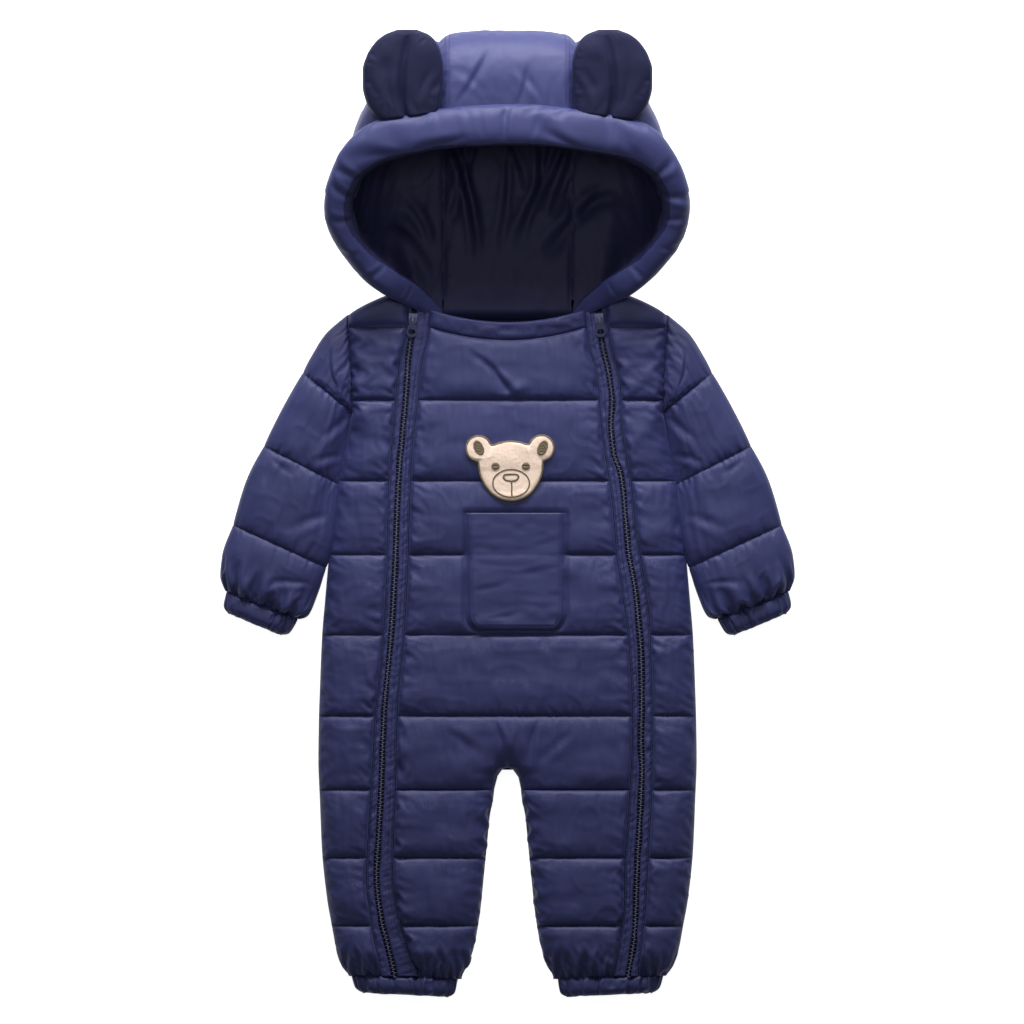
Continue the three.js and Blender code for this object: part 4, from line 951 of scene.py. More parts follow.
def copies(template, places, across, along, up):
    """Many copies of a small closed shape, each turned to its own three directions."""
    points, faces = template
    places, across, along, up = (np.asarray(v, float) for v in (places, across, along, up))
    moved = (
        places[:, None]
        + points[None, :, 0:1] * across[:, None]
        + points[None, :, 1:2] * along[:, None]
        + points[None, :, 2:3] * up[:, None]
    )
    count = len(points)
    all_faces = [tuple(i + n * count for i in face) for n in range(len(places)) for face in faces]
    return moved.reshape(-1, 3), all_faces


def tooth_shape():
    """A zip's tooth: a rounded bar with a wider head at the middle of the zip."""
    points = []
    for x, w, h in ((-2.9, 0.55, 0.6), (-0.7, 0.5, 0.9), (0.5, 0.85, 1.3), (1.25, 0.55, 0.8)):
        points += [
            (x, -w, -h), (x, w, -h), (x, w, h * 0.6),
            (x, w * 0.5, h), (x, -w * 0.5, h), (x, -w, h * 0.6),
        ]
    return np.array(points), ring_faces(4, 6)


def zip_teeth(side):
    zip_ = ZIPS[side]
    y = np.arange(174.0, CUFF_SEAM_Y - 2, -TOOTH_PITCH / 2)
    side_of_tooth = np.where(np.arange(len(y)) % 2 == 0, 1.0, -1.0)
    slope = (zip_.teeth(y + 1) - zip_.teeth(y - 1)) / 2
    along = np.stack([slope, np.ones_like(y), np.zeros_like(y)], -1)
    along /= np.linalg.norm(along, axis=1, keepdims=True)
    across = np.stack([along[:, 1], -along[:, 0], np.zeros_like(y)], -1) * -side_of_tooth[:, None]
    up = np.broadcast_to((0.0, 0.0, 1.0), along.shape)
    z = SEAM_Z + 2.9 + 0.2 * noise(y / 20, 3.3, 77)
    places = np.stack([zip_.teeth(y), y, z], -1) - across * 0.3
    points, faces = copies(tooth_shape(), places, across, along, up)
    dress(new_object(f"teeth_{side}", points, faces, TEETH), "zip_teeth", f"zip_teeth_{side}")
    rows = np.arange(197.0, CUFF_SEAM_Y - 1, -4.0)[:, None]
    share = np.linspace(-1, 1, 5)[None, :]
    x = zip_.teeth(rows) + share * 4.8
    P = np.stack([x, np.broadcast_to(rows, x.shape), np.full(x.shape, SEAM_Z + 1.9)], -1)
    keep = rows[:, 0] < np.min(front_top(x), axis=1) - 2
    dress(panel_piece(f"tape_{side}", P[keep], MID - 0.2, TAPE, 2), "zip_teeth")


for side in ZIPS:
    zip_teeth(side)


# Stitching


def stitch_shape(length, radius, sides=6):
    """A stitch: a short length of thread that dips into the cloth at both ends."""
    rings = [(-0.5, 0.3, -1.3), (-0.36, 0.85, -0.1), (0.0, 1.0, 0.35), (0.36, 0.85, -0.1), (0.5, 0.3, -1.3)]
    points = []
    for share, size, lift in rings:
        for i in range(sides):
            turn = 2 * math.pi * i / sides
            x, z = size * math.cos(turn), size * math.sin(turn) + lift
            points.append((radius * x, share * length, radius * z))
    return np.array(points), ring_faces(len(rings), sides)


class Thread:
    """All the stitching of one group of pieces, kept together as one object."""

    def __init__(self, name, material=SHADE_PAINTED_THREAD):
        self.name, self.material, self.points, self.faces = name, material, [], []

    def stitches(self, shape, places, along, normals):
        along = along / np.linalg.norm(along, axis=1, keepdims=True)
        across = np.cross(along, normals)
        across /= np.linalg.norm(across, axis=1, keepdims=True)
        up = np.cross(across, along)
        points, faces = copies(shape, places, across, along, up)
        first = sum(len(p) for p in self.points)
        self.points.append(points)
        self.faces += [tuple(i + first for i in face) for face in faces]

    def run(
        self, path, normals=(0, 0, 1), pitch=STITCH_PITCH, length=STITCH_LENGTH,
        radius=STITCH_RADIUS, turn=0.0,
    ):
        """Stitches along a path of points. turn is each stitch's angle to the path, in degrees."""
        travelled = travel(path)
        at = np.arange(pitch / 2, travelled[-1], pitch)
        places = at_distance(at, travelled, path)
        along = at_distance(at + 0.8, travelled, path) - at_distance(at - 0.8, travelled, path)
        up = at_distance(at, travelled, np.broadcast_to(normals, path.shape))
        if turn:
            along /= np.linalg.norm(along, axis=1, keepdims=True)
            angle = math.radians(turn)
            along = along * math.cos(angle) + np.cross(up, along) * math.sin(angle)
        self.stitches(stitch_shape(length, radius), places, along, up)

    def piece(self):
        dress(new_object(self.name, np.concatenate(self.points), self.faces, self.material), "shell")


zip_thread = Thread("stitching_zips")
for band in BANDS:
    y = np.arange(190.0, CUFF_SEAM_Y + 2, -1.0)
    for inset in band.insets:
        x = band.edge(y) - band.away * inset
        zip_thread.run(np.stack([x, y, band.height(x, y) + 0.05], -1), pitch=3.1, **EDGE_STITCH)
zip_thread.piece()

quilt_thread = Thread("stitching_quilting")
for panel in PANELS.values():
    for line in panel.lines[1:-1] if panel.front else ():
        y0 = float(line(np.array(0.0)))
        x = np.arange(float(panel.left(y0)) + 1.5, float(panel.right(y0)) - 1.5, 1.0)
        y = line(x)
        quilt_thread.run(np.stack([x, y, panel.height(x, y - 0.3) + 0.1], -1), pitch=3.6, radius=0.26)
x = np.arange(-72.0, 72.0, 1.0)
y = neck_band_seam(x) - 1.8
quilt_thread.run(np.stack([x, y, centre.height(x, y)], -1))
quilt_thread.piece()


# Pocket


class Pocket:
    left_x, right_x, top, bottom, radius = (POCKET[k] for k in ("left", "right", "top", "bottom", "radius"))
    creases = Creases(401)

    def inset(self, y):
        down = np.clip(self.bottom + self.radius - y, 0, self.radius - 0.4)
        return self.radius - np.sqrt(self.radius**2 - down**2)

    def left(self, y):
        return self.left_x + 0.8 + self.inset(y) + 2.2 * np.clip((self.top - y) / 110, 0, 1)

    def right(self, y):
        return self.right_x - 0.8 - self.inset(y)

    def height(self, x, y):
        """The height of the cloth, which is held to the panel at its edges and bridges its quilting."""
        under = centre.height(x, y)
        body = SEAM_Z + (FRONT_LOFT - SEAM_RISE) * (0.93 + 0.07 * puff(across_lines(centre.lines, x, y)))
        edge = np.minimum(np.minimum(x - self.left(y), self.right(y) - x), y - self.bottom)
        held = rounded(np.maximum(edge, 0), 9)
        crown = body + 1.4 * held + 0.7 * noise(x / 32, y / 15, 405) + 0.4 * self.creases(x, y)
        bridge = np.maximum(under + 0.6 + 1.2 * held, mix(under + 0.8, crown, smooth(0, 7, edge)))
        groove = 1.3 * bell(edge - 1.6, 0.9) + 0.5 * bell(edge - 6.4, 0.9)
        return bridge - groove

    def piece(self):
        corner = self.bottom + 20
        rows = [np.arange(self.top, corner, -1.5), np.linspace(corner, self.bottom + 0.1, 24)]
        y = np.concatenate(rows)[:, None]
        share = np.linspace(0, 1, 70)[None, :]
        x = mix(self.left(y), self.right(y), share)
        y = np.broadcast_to(y, x.shape)
        P = np.stack([x, y, self.height(x, y)], -1)
        edge = np.minimum(np.minimum(x - self.left(y), self.right(y) - x), y - self.bottom)
        P[..., 2] += 0.3 * noise(x / 11, y / 7, 407) * smooth(0, 8, edge)
        free = smooth(0.4, 5, edge)
        free[[0, -1]] = 0
        near_edge = np.exp(-edge / 6)
        P = settle(P, free, 1.001 + 0.014 * near_edge, 1.002 + 0.016 * near_edge, cap=1.2)
        # The pocket's walls are dark: a painted shadow in the gap under its mouth.
        piece = panel_piece("cloth_pocket", P, MID + 2, SHELL, 24, PAINTED_SHADE_LINING, walls_painted_shade=True)
        soft(piece, "pocket")


pocket = Pocket()
pocket.creases.table(POCKET_FOLDS, 0.1)
y = np.linspace(0, -92, 40)
for edge, inward in ((pocket.left, 1.0), (pocket.right, -1.0)):
    pocket.creases.along(edge(y), y, (inward, -0.15), 8, 12, 1.4, 0.7, sides=(1,))
pocket.creases.along(np.linspace(-25, 40, 20), pocket.bottom, (0, 1), 6, 14, 1.4, 0.9, sides=(1,))
pocket.piece()

pocket_thread = Thread("stitching_pocket")
top_y, corner_y = pocket.top - 1.5, pocket.bottom + pocket.radius
down, up = np.arange(top_y, corner_y, -1.5), np.arange(corner_y, top_y, 1.5)
for inset in (1.6, 6.4):
    parts = [(pocket.left(down) + inset, down)]
    for edge, away, first_turn in ((pocket.left, 1, 180), (pocket.right, -1, 270)):
        turn = np.radians(np.linspace(first_turn, first_turn + 90, 22))
        corner_x, reach = edge(corner_y) + away * pocket.radius, pocket.radius - inset
        parts.append((corner_x + reach * np.cos(turn), corner_y + reach * np.sin(turn)))
    parts.append((pocket.right(up) - inset, up))
    x, y = np.concatenate(parts, axis=1)
    pocket_thread.run(np.stack([x, y, pocket.height(x, y) + 0.1], -1), pitch=3.0, **EDGE_STITCH)
pocket_thread.piece()


# Bear patch: a teddy bear's head of plush, edged and drawn with embroidery


def ellipse(x, y, cx, cy, rx, ry, turn=0.0):
    """About the distance inside an ellipse, negative inside it."""
    c, s = math.cos(math.radians(turn)), math.sin(math.radians(turn))
    dx, dy = x - cx, y - cy
    u, v = (c * dx + s * dy) / rx, (-s * dx + c * dy) / ry
    r = np.sqrt(u * u + v * v) + 1e-9
    slope = np.sqrt((u / rx) ** 2 + (v / ry) ** 2) / r + 1e-9
    return (r - 1) / slope


def blended(a, b, reach):
    h = np.clip(0.5 + 0.5 * (b - a) / reach, 0, 1)
    return mix(b, a, h) - reach * h * (1 - h)


def bear_outline(x, y):
    cx, cy = BEAR
    head = blended(ellipse(x, y, cx, cy + 4.6, 30.5, 23.6), ellipse(x, y, cx + 0.4, cy - 7, 24, 21.5), 10)
    ears = np.minimum(
        ellipse(x, y, cx - 30.2, cy + 21, 12.2, 12.4), ellipse(x, y, cx + 29, cy + 21.6, 12.2, 12.4),
    )
    return blended(head, ears, 3)


def outline_slope(x, y, step=0.2):
    across = (bear_outline(x + step, y) - bear_outline(x - step, y)) / (2 * step)
    along = (bear_outline(x, y + step) - bear_outline(x, y - step)) / (2 * step)
    return across, along


def bear_base(x, y):
    """The panel under the patch, with its quilting bridged."""
    return np.maximum(centre.height(x, y), SEAM_Z + (FRONT_LOFT - SEAM_RISE) * 0.9)


def bear_height(x, y):
    inside = -bear_outline(x, y)
    tuft = 0.13 * noise(x / 1.7, y / 1.7, 501) + 0.1 * noise(x / 0.9, y / 0.9, 502)
    return bear_base(x, y) + 0.8 + 2.4 * rounded(inside, 6) + tuft * smooth(0.5, 2, inside)


def bear_patch():
    """The patch on a grid of small squares, whose border is moved onto its outline. Returns its rim."""
    step = 0.8
    gx, gy = np.meshgrid(np.arange(-40, 46, step), np.arange(8, 80, step), indexing="ij")
    inside = bear_outline(gx, gy) < 0
    cells = inside[:-1, :-1] & inside[1:, :-1] & inside[:-1, 1:] & inside[1:, 1:]
    touching = np.zeros(inside.shape, int)
    for di in (0, 1):
        for dj in (0, 1):
            touching[di : di + cells.shape[0], dj : dj + cells.shape[1]] += cells
    used = touching > 0
    border = used & (touching < 4)
    x, y = gx.copy(), gy.copy()
    for _ in range(4):
        distance = bear_outline(x, y)
        sx, sy = outline_slope(x, y)
        size = np.maximum(0.3, sx * sx + sy * sy)
        x = np.where(border, x - distance * sx / size, x)
        y = np.where(border, y - distance * sy / size, y)
    index = -np.ones(inside.shape, int)
    index[used] = np.arange(used.sum())
    top = np.stack([x[used], y[used], bear_height(x[used], y[used])], -1)
    bottom = top.copy()
    bottom[:, 2] = bear_base(top[:, 0], top[:, 1]) - 2.5
    count = len(top)
    i, j = np.nonzero(cells)
    upper = np.stack([index[i, j], index[i + 1, j], index[i + 1, j + 1], index[i, j + 1]], -1)
    lower = upper[:, ::-1] + count
    edges = {}
    for face in upper.tolist():
        for a, b in zip(face, face[1:] + face[:1]):
            edges[a, b] = True
    rim = [(a, b) for a, b in edges if (b, a) not in edges]
    walls = [(b, a, a + count, b + count) for a, b in rim]
    faces = upper.tolist() + lower.tolist() + walls
    piece = new_object("plush_bear_patch", np.concatenate([top, bottom]), faces, PLUSH)
    soft(piece, "bear_patch", slot="plush")
    following = dict(rim)
    start = rim[0][0]
    loop, at = [start], following[start]
    while at != start:
        loop.append(at)
        at = following[at]
    return top[loop + [start]]


def inset_path(path, amount):
    """A closed path of the patch's rim, moved in by amount and smoothed."""
    x, y = path[:-1, 0], path[:-1, 1]
    for _ in range(3):
        x = (np.roll(x, 1) + x + np.roll(x, -1)) / 3
        y = (np.roll(y, 1) + y + np.roll(y, -1)) / 3
    sx, sy = outline_slope(x, y)
    size = np.hypot(sx, sy)
    x, y = x - amount * sx / size, y - amount * sy / size
    return np.append(x, x[0]), np.append(y, y[0])


brown = Thread("embroidery_bear", BROWN)
x, y = inset_path(bear_patch(), 0.8)
brown.run(np.stack([x, y, bear_height(x, y) + 0.1], -1), pitch=0.55, length=2.3, radius=0.38, turn=84)


def satin_fill(cx, cy, rx, ry, turn=0.0, spacing=0.62):
    """Close parallel stitches that fill an ellipse."""
    c, s = math.cos(math.radians(turn)), math.sin(math.radians(turn))
    for u in np.arange(-rx + spacing / 2, rx, spacing):
        half = ry * math.sqrt(max(0, 1 - (u / rx) ** 2))
        if half < 0.7:
            continue
        v = np.linspace(-half, half, 9)
        x, y = cx + c * u - s * v, cy + s * u + c * v
        z = np.full(9, bear_height(x, y).mean() + 0.45)
        pitch = 2 * half / math.ceil(2 * half / 3.6) * 0.998
        brown.run(np.stack([x, y, z], -1), pitch=pitch, length=pitch * 1.2, radius=0.4)


def drawn(points, length=1.5):
    """An embroidered line, of short stitches across it."""
    z = bear_height(points[:, 0], points[:, 1]) + 0.3
    brown.run(np.column_stack([points, z]), pitch=0.55, length=length, radius=0.36, turn=80)


def smooth_path(points, count):
    """A smooth path through points that are given from the bear's middle."""
    t = np.linspace(0, 1, len(points))
    at = np.linspace(0, 1, count)
    return np.stack([through([(a, BEAR[k] + p[k]) for a, p in zip(t, points)])(at) for k in (0, 1)], -1)


cx, cy = BEAR
for sign in (-1, 1):
    satin_fill(cx + sign * 30, cy + 21.6, 4.4, 7.4, turn=-sign * 24)
    satin_fill(cx + sign * 14.3, cy + 4.5, 3.7, 3.3)
round_turns = np.linspace(0, 2 * math.pi, 110)
drawn(np.stack([cx + 0.4 + 17.2 * np.cos(round_turns), cy - 11.6 + 13 * np.sin(round_turns)], -1))
NOSE = [
    (-7, -5.8), (-5.6, -3.6), (0.2, -3.2), (6, -3.6), (7.4, -5.8), (4.8, -8.8), (0.2, -9.5), (-4.4, -8.8),
    (-7, -5.8),
]
drawn(smooth_path(NOSE, 70), length=1.9)
drawn(smooth_path([(0.6, -9.6), (1.1, -16), (0.8, -20), (1.4, -24.4)], 40))
brown.piece()


# Sleeves

SLEEVE_CURVES = [through(SLEEVE, k) for k in range(1, 5)]
SLEEVE_TUBE = 62.0  # a quilted tube's length down the sleeve
SLEEVE_HALF = 46.0  # half the sleeve's width


def sleeve_grid(stage, around):
    """The sleeve's surface, how far across it each point lies, and which points are on its upper side."""
    turn = turns(around)
    ox, oy, ix, iy = (curve(stage) for curve in SLEEVE_CURVES)
    across = np.cos(turn)[None, :]
    ix = ix - 5.5 * smooth(0.3, 0.9, stage) * smooth(3.2, 2.6, stage)
    oy = oy + 3 * np.clip(1 - stage / 0.6, 0, 1) ** 2
    x, y = mix(ix, ox, (1 + across) / 2), mix(iy, oy, (1 + across) / 2)
    full = puff(stage - np.minimum(3, np.floor(stage)))
    # Below the armpit the sleeve falls away towards the body, with a valley between them.
    valley = smooth(0.3, 0.95, stage) * smooth(2.8, 1.9, stage)
    height = np.maximum(0, 1 - np.abs(across) ** 2.6) ** 0.5 * (1 - 0.5 * valley * smooth(-0.3, -1, across))
    top = mix(12 - 6.5 * smooth(3.6, 4, stage), 17.4, full)
    under = mix(8, MID, np.minimum(1, 1.3 * full))
    upper = np.sin(turn)[None, :] >= 0
    z = np.where(upper, MID + top * height, MID - under * np.minimum(1, 1.25 * height))
    return np.stack([x, y, np.maximum(0, z)], -1), np.broadcast_to(across, x.shape), upper


def sleeve_creases(seed):
    creases = Creases(seed)
    for line in (1, 2, 3):
        creases.along(np.linspace(-42, 42, 20), line * SLEEVE_TUBE, (0, 1), 8, 18, 1.9, 1.2)
    x = np.linspace(-44, 44, 30)
    creases.along(x, 4 * SLEEVE_TUBE, (0, -1), 3.6, 30, 2.0, 2.2, spread=14, sides=(1,))
    creases.along(x, 0, (0, 1), 13, 26, 2.8, 1.0, spread=40, sides=(1,))
    creases.table(SLEEVE_FOLDS, 0.15)
    return creases


def sleeve(side):
    sign = ZIPS[side].side
    tube = mix(np.arange(46) / 46, eased(np.pi * np.arange(46) / 46), 0.6)
    stage = np.append(np.arange(4)[:, None] + tube, 4.0)[:, None]
    P, across, upper = sleeve_grid(stage, 150)
    stage = np.broadcast_to(stage, across.shape)
    down, over = stage * SLEEVE_TUBE, across * SLEEVE_HALF
    normal = grid_normals(P, wrap=True)
    normal *= np.sign(np.sum(normal * (P - P.mean(axis=1, keepdims=True))))
    s = stage - np.floor(np.minimum(stage, 3.999))
    flank = np.clip(1 - np.abs(across) ** 4, 0, 1)
    uneven = undulation(over * 1.3, down, 640 + sign) * puff(s)
    relief = (sleeve_creases(600 + sign)(over, down) + uneven) * flank
    scallop = -1.1 * (1 - puff(s)) * (np.abs(across) > 0.6)
    P = P + normal * (np.where(upper, relief, relief * 0.3) + scallop)[..., None]
    P[..., 2] = np.where(upper, P[..., 2], np.clip(P[..., 2], 0, MID))
    from_line = np.minimum(s, 1 - s) * SLEEVE_TUBE
    patch = np.clip(0.8 + 0.9 * noise(over / 30, down / 26, 650 + sign), 0.05, 2)
    cuff_near, arm_near = smooth(3.35, 3.97, stage), np.exp(-down / 16)
    larger = 0.004 + 0.024 * np.exp(-from_line / 8) * patch + 0.17 * cuff_near + 0.018 * arm_near
    free = np.where(upper, 1.0, 0.2) * np.clip((1.02 - np.abs(across)) * 12, 0.1, 1)
    free = np.where((np.abs(s) < 1e-6) | (stage >= 3.9999), 0, free)
    tremble = (
        0.5 * noise(over / 5, down / 20, 660 + sign)
        + 1.8 * cuff_near * noise(over / 8, down / 40, 661 + sign)
        + 0.4 * arm_near * noise(over / 7, down / 30, 662 + sign)
    )
    P[..., 2] += np.where(upper, 1, 0.2) * free * tremble * np.clip(from_line / 5, 0, 1)
    P = settle(P, free, 1 + larger, 1.004, wrap=True)
    # The end at the armhole is tucked under the body's cloth.
    tucked = [P[:1] - np.array((shift, 0, 0.0)) for shift in (2.0, 5.0)]
    for ring, top, low in zip(tucked, (MID + 7, MID + 4), (2.5, 5)):
        ring[..., 2] = np.clip(ring[..., 2], 2, top)
        ring[..., 1] -= low * (across[:1] < 0)
    middle = P[-1:].mean(axis=1, keepdims=True)
    closed = middle + (P[-1:] - middle) * 0.86
    P = np.concatenate([tucked[1], tucked[0], P, closed])
    P[..., 0] *= sign
    soft(tube_piece(f"cloth_sleeve_{side}", P, SHELL), f"sleeve_{side}")


for side in ZIPS:
    sleeve(side)


# Cuffs, gathered on elastic

CUFF_MIDDLE_Z = 9.6


def cuff(node, sign, ends, count, seed):
    """A cuff between two pairs of an outer and an inner point, with about count gathers."""
    (so, si), (eo, ei) = (np.array(pair, float) for pair in ends)
    t = np.linspace(0, 1, 26)[:, None]
    turn = turns(336)[None]
    cos, sin = np.cos(turn), np.sin(turn)
    outer, inner = so + (eo - so) * t, si + (ei - si) * t
    middle = (outer + inner) / 2
    half = np.linalg.norm(outer - inner, axis=1, keepdims=True) / 2
    across = (outer - inner) / (2 * half)
    swell = 0.9 + 0.18 * np.sin(np.pi * t) ** 0.7 - 0.1 * t**6
    phase = count * turn + 2.6 * noise(4 * cos + 9, 4 * sin + 9, seed)
    size = 0.75 + 0.6 * noise(3 * cos + 4, 3 * sin + 4, seed + 1)
    wander = 0.9 * noise(t * 2.4, cos * 12 + 20, seed + 2)
    gather = size * (np.sin(phase + wander) + 0.45 * np.sin(2.3 * phase + 2 * wander + 1))
    gather = gather * (1.0 - 0.3 * np.sin(np.pi * t) - 0.3 * t**4)
    pinch = -0.8 * bell(t, 0.07) - 0.35 * bell(t - 0.8, 0.05)
    u = (half - 0.6 - 5.5 * t**9 - 1.2 * t**3 + 0.5 * gather) * squarer(cos, 0.75)
    v = (11.4 * swell + 1.7 * gather + pinch) * squarer(sin, 0.75)
    hem = 0.6 * noise(cos * 5 + 30, sin * 5 + 30, seed + 3) * t**3
    direction = ((eo + ei) - (so + si)) / np.linalg.norm((eo + ei) - (so + si))
    x = middle[:, 0:1] + across[:, 0:1] * u + direction[0] * hem
    y = middle[:, 1:2] + across[:, 1:2] * u + direction[1] * hem
    P = np.stack([x, y, np.maximum(0, 11.8 + v)], -1)
    # One end is tucked into the sleeve or leg. The open end is folded in over the slit between its layers.
    tucked = P[:1].copy()
    tucked[..., :2] = (tucked[..., :2] - middle[0]) * 0.96 + middle[0] - 5 * direction
    tucked[..., 2] = (tucked[..., 2] - CUFF_MIDDLE_Z) * 0.7 + CUFF_MIDDLE_Z
    slit = np.column_stack([middle[-1] + across[-1] * u[-1][:, None], np.full(u.shape[1], CUFF_MIDDLE_Z)])
    lips = []
    for depth, share in ((0.6, 0.12), (0.2, 0.4), (-1.5, 0.72), (-6, 0.9)):
        ring = P[-1] * (1 - share) + slit * share
        ring[:, :2] += direction * depth
        lips.append(ring[None])
    P = np.concatenate([tucked, P, *lips])
    P[..., 0] *= sign
    soft(tube_piece(f"cloth_{node}", P, SHELL), node)


for side, zip_ in ZIPS.items():
    cuff(f"sleeve_cuff_{side}", zip_.side, SLEEVE_CUFF, 13, 700 + zip_.side)
    cuff(f"leg_cuff_{side}", zip_.side, LEG_CUFF, 17, 720 + zip_.side)


# Hood: the roll round the face


def catmull_rom(points, t):
    """The centripetal curve that the part draws through the roll's table, and its direction."""
    points = np.asarray(points, float)
    n = len(points)
    padded = np.concatenate([[2 * points[0] - points[1]], points, [2 * points[-1] - points[-2]]])

    def at(t):
        p = (n - 1) * np.clip(t, 0, 1)
        i = np.minimum(np.floor(p).astype(int), n - 2)
        w = (p - i)[:, None]
        p0, p1, p2, p3 = padded[i], padded[i + 1], padded[i + 2], padded[i + 3]
        pairs = ((p0, p1), (p1, p2), (p2, p3))
        d0, d1, d2 = (np.linalg.norm(b - a, axis=1, keepdims=True) ** 0.5 for a, b in pairs)
        t1 = ((p1 - p0) / d0 - (p2 - p0) / (d0 + d1) + (p2 - p1) / d1) * d1
        t2 = ((p2 - p1) / d1 - (p3 - p1) / (d1 + d2) + (p3 - p2) / d2) * d1
        return p1 + t1 * w + (-3 * p1 + 3 * p2 - 2 * t1 - t2) * w**2 + (2 * p1 - 2 * p2 + t1 + t2) * w**3

    forward = at(t + 1e-4) - at(t - 1e-4)
    return at(t), forward / np.linalg.norm(forward, axis=1, keepdims=True)


# The roll's lower ends run on past the table, under the front: x, y, z, wide, tall
BRIM_ENDS = [(93, 208, 32, 11, 8), (80, 199, 23, 9, 6), (70, 190, 16.5, 7.5, 4.5), (62, 181, 13, 5, 4)]
ROLL_RADIUS = 15  # for distances round the roll
ROLL_GIRTH = 94.2


def brim():
    half_roll = [*BRIM[:9], *BRIM_ENDS]
    rows = half_roll[:0:-1] + [(-row[0], *row[1:]) for row in half_roll]
    table = [(i / (len(rows) - 1), *row) for i, row in enumerate(rows)]
    t = np.linspace(0, 1, 420)
    middle, forward = catmull_rom([row[:3] for row in rows], t)
    across = np.stack([-forward[:, 1], forward[:, 0], np.zeros(len(t))], -1)
    across /= np.linalg.norm(across, axis=1, keepdims=True)
    up = np.cross(forward, across)
    end = np.minimum(1, np.sqrt(np.minimum(t, 1 - t) / 0.03) + 0.35)
    wide, tall = through(table, 4)(t) * end, through(table, 5)(t) * end
    at_side = bell(middle[:, 1] - 285, 45)
    at_corner = bell(np.abs(middle[:, 0]) - 122, 26) * (middle[:, 1] > 300)
    wide = wide + 2.8 * at_side + 2.5 * at_corner
    outward = np.sign(middle[:, 0]) * (1.3 * at_side + 1.5 * at_corner)
    middle = middle + np.stack([outward, 2.5 * at_corner, 0 * t], -1)
    turn = turns(84)
    u, v = squarer(np.cos(turn), 0.85), squarer(np.sin(turn), 0.85)
    shear = 0.24 * np.abs(forward[:, 1]) - 0.06
    P = (
        middle[:, None]
        + across[:, None] * (wide[:, None] * u[None])[..., None]
        + up[:, None] * (0.9 * tall[:, None] * v[None] - (shear * wide)[:, None] * u[None])[..., None]
    )
    lengths = travel(middle)
    along, around = np.broadcast_arrays(lengths[:, None], (turn * ROLL_RADIUS)[None])
    full = lengths[-1]
    creases = Creases(801)
    for place, spacing, size in ((0.0, 9, 1.1), (47.0, 8, 1.0), (ROLL_GIRTH, 9, 1.1)):
        line = np.linspace(0, full, 60)
        creases.along(line, place, (0, 1), spacing * 3.5, 24, 3.0, size * 0.7, spread=60)
    creases.table([(share * full, *row) for share, *row in BRIM_FOLDS], 0.1)
    normal = turned_outward(grid_normals(P, wrap=True), P - middle[:, None])
    swelling = 1.3 * noise(along / 40, around / 22, 811) + 0.5 * noise(along / 15, around / 12, 812)
    relief = creases(along, around) + creases(along, around - ROLL_GIRTH) + swelling
    fade = smooth(0, 0.04, np.minimum(t, 1 - t))[:, None]
    shaking = 0.5 * noise(along / 10, around / 20, 821) * noise(along / 37, around / 30, 824)
    shaking = shaking + 0.5 * noise(along / 19, around / 13, 822)
    P = P + normal * ((0.55 * relief + 0.7 * shaking) * fade)[..., None]
    lip = bell(turn - 2.6, 0.5)[None] * (1 - 0.75 * np.abs(forward[:, 1:2]))
    patch = np.clip(0.25 + 0.8 * noise(along / 42, around / 30, 823), 0, 1.2) + 0.7 * lip
    free = fade * np.where(np.abs(turn - 0.25) < 0.12, 0, 1)[None]
    P = settle(P, free, 1.004, 1 + 0.016 * patch, wrap=True, steps=120, hold=0.012)
    # The lining is seamed in on the roll's inner side, and shows more of itself at the sides of the face.
    upright = np.abs(forward[:-1, 1])
    wander = 0.1 * noise(lengths[:-1] / 30, 0.5, 830)
    seam = 0.5 + 0.85 * upright**2 * smooth(205, 240, middle[:-1, 1]) + wander
    from_inside = np.abs((turn + 0.5 * turn[1] + math.pi) % (2 * math.pi) - math.pi)
    lined = (from_inside[None] < seam[:, None]).astype(int)
    soft(tube_piece("cloth_hood_brim", P, [SHELL, LINING], lined), "hood_brim")


brim()

# Hood: the bowl

BRIM_SIDE = BRIM[5][0]
brim_top_y, brim_top_z = (through(BRIM[:6], column) for column in (1, 2))
brim_side_y, brim_side_z = (through(BRIM[5:], column) for column in (1, 2))
HOOD_MIDDLE = np.array((0, 320, 55.0))


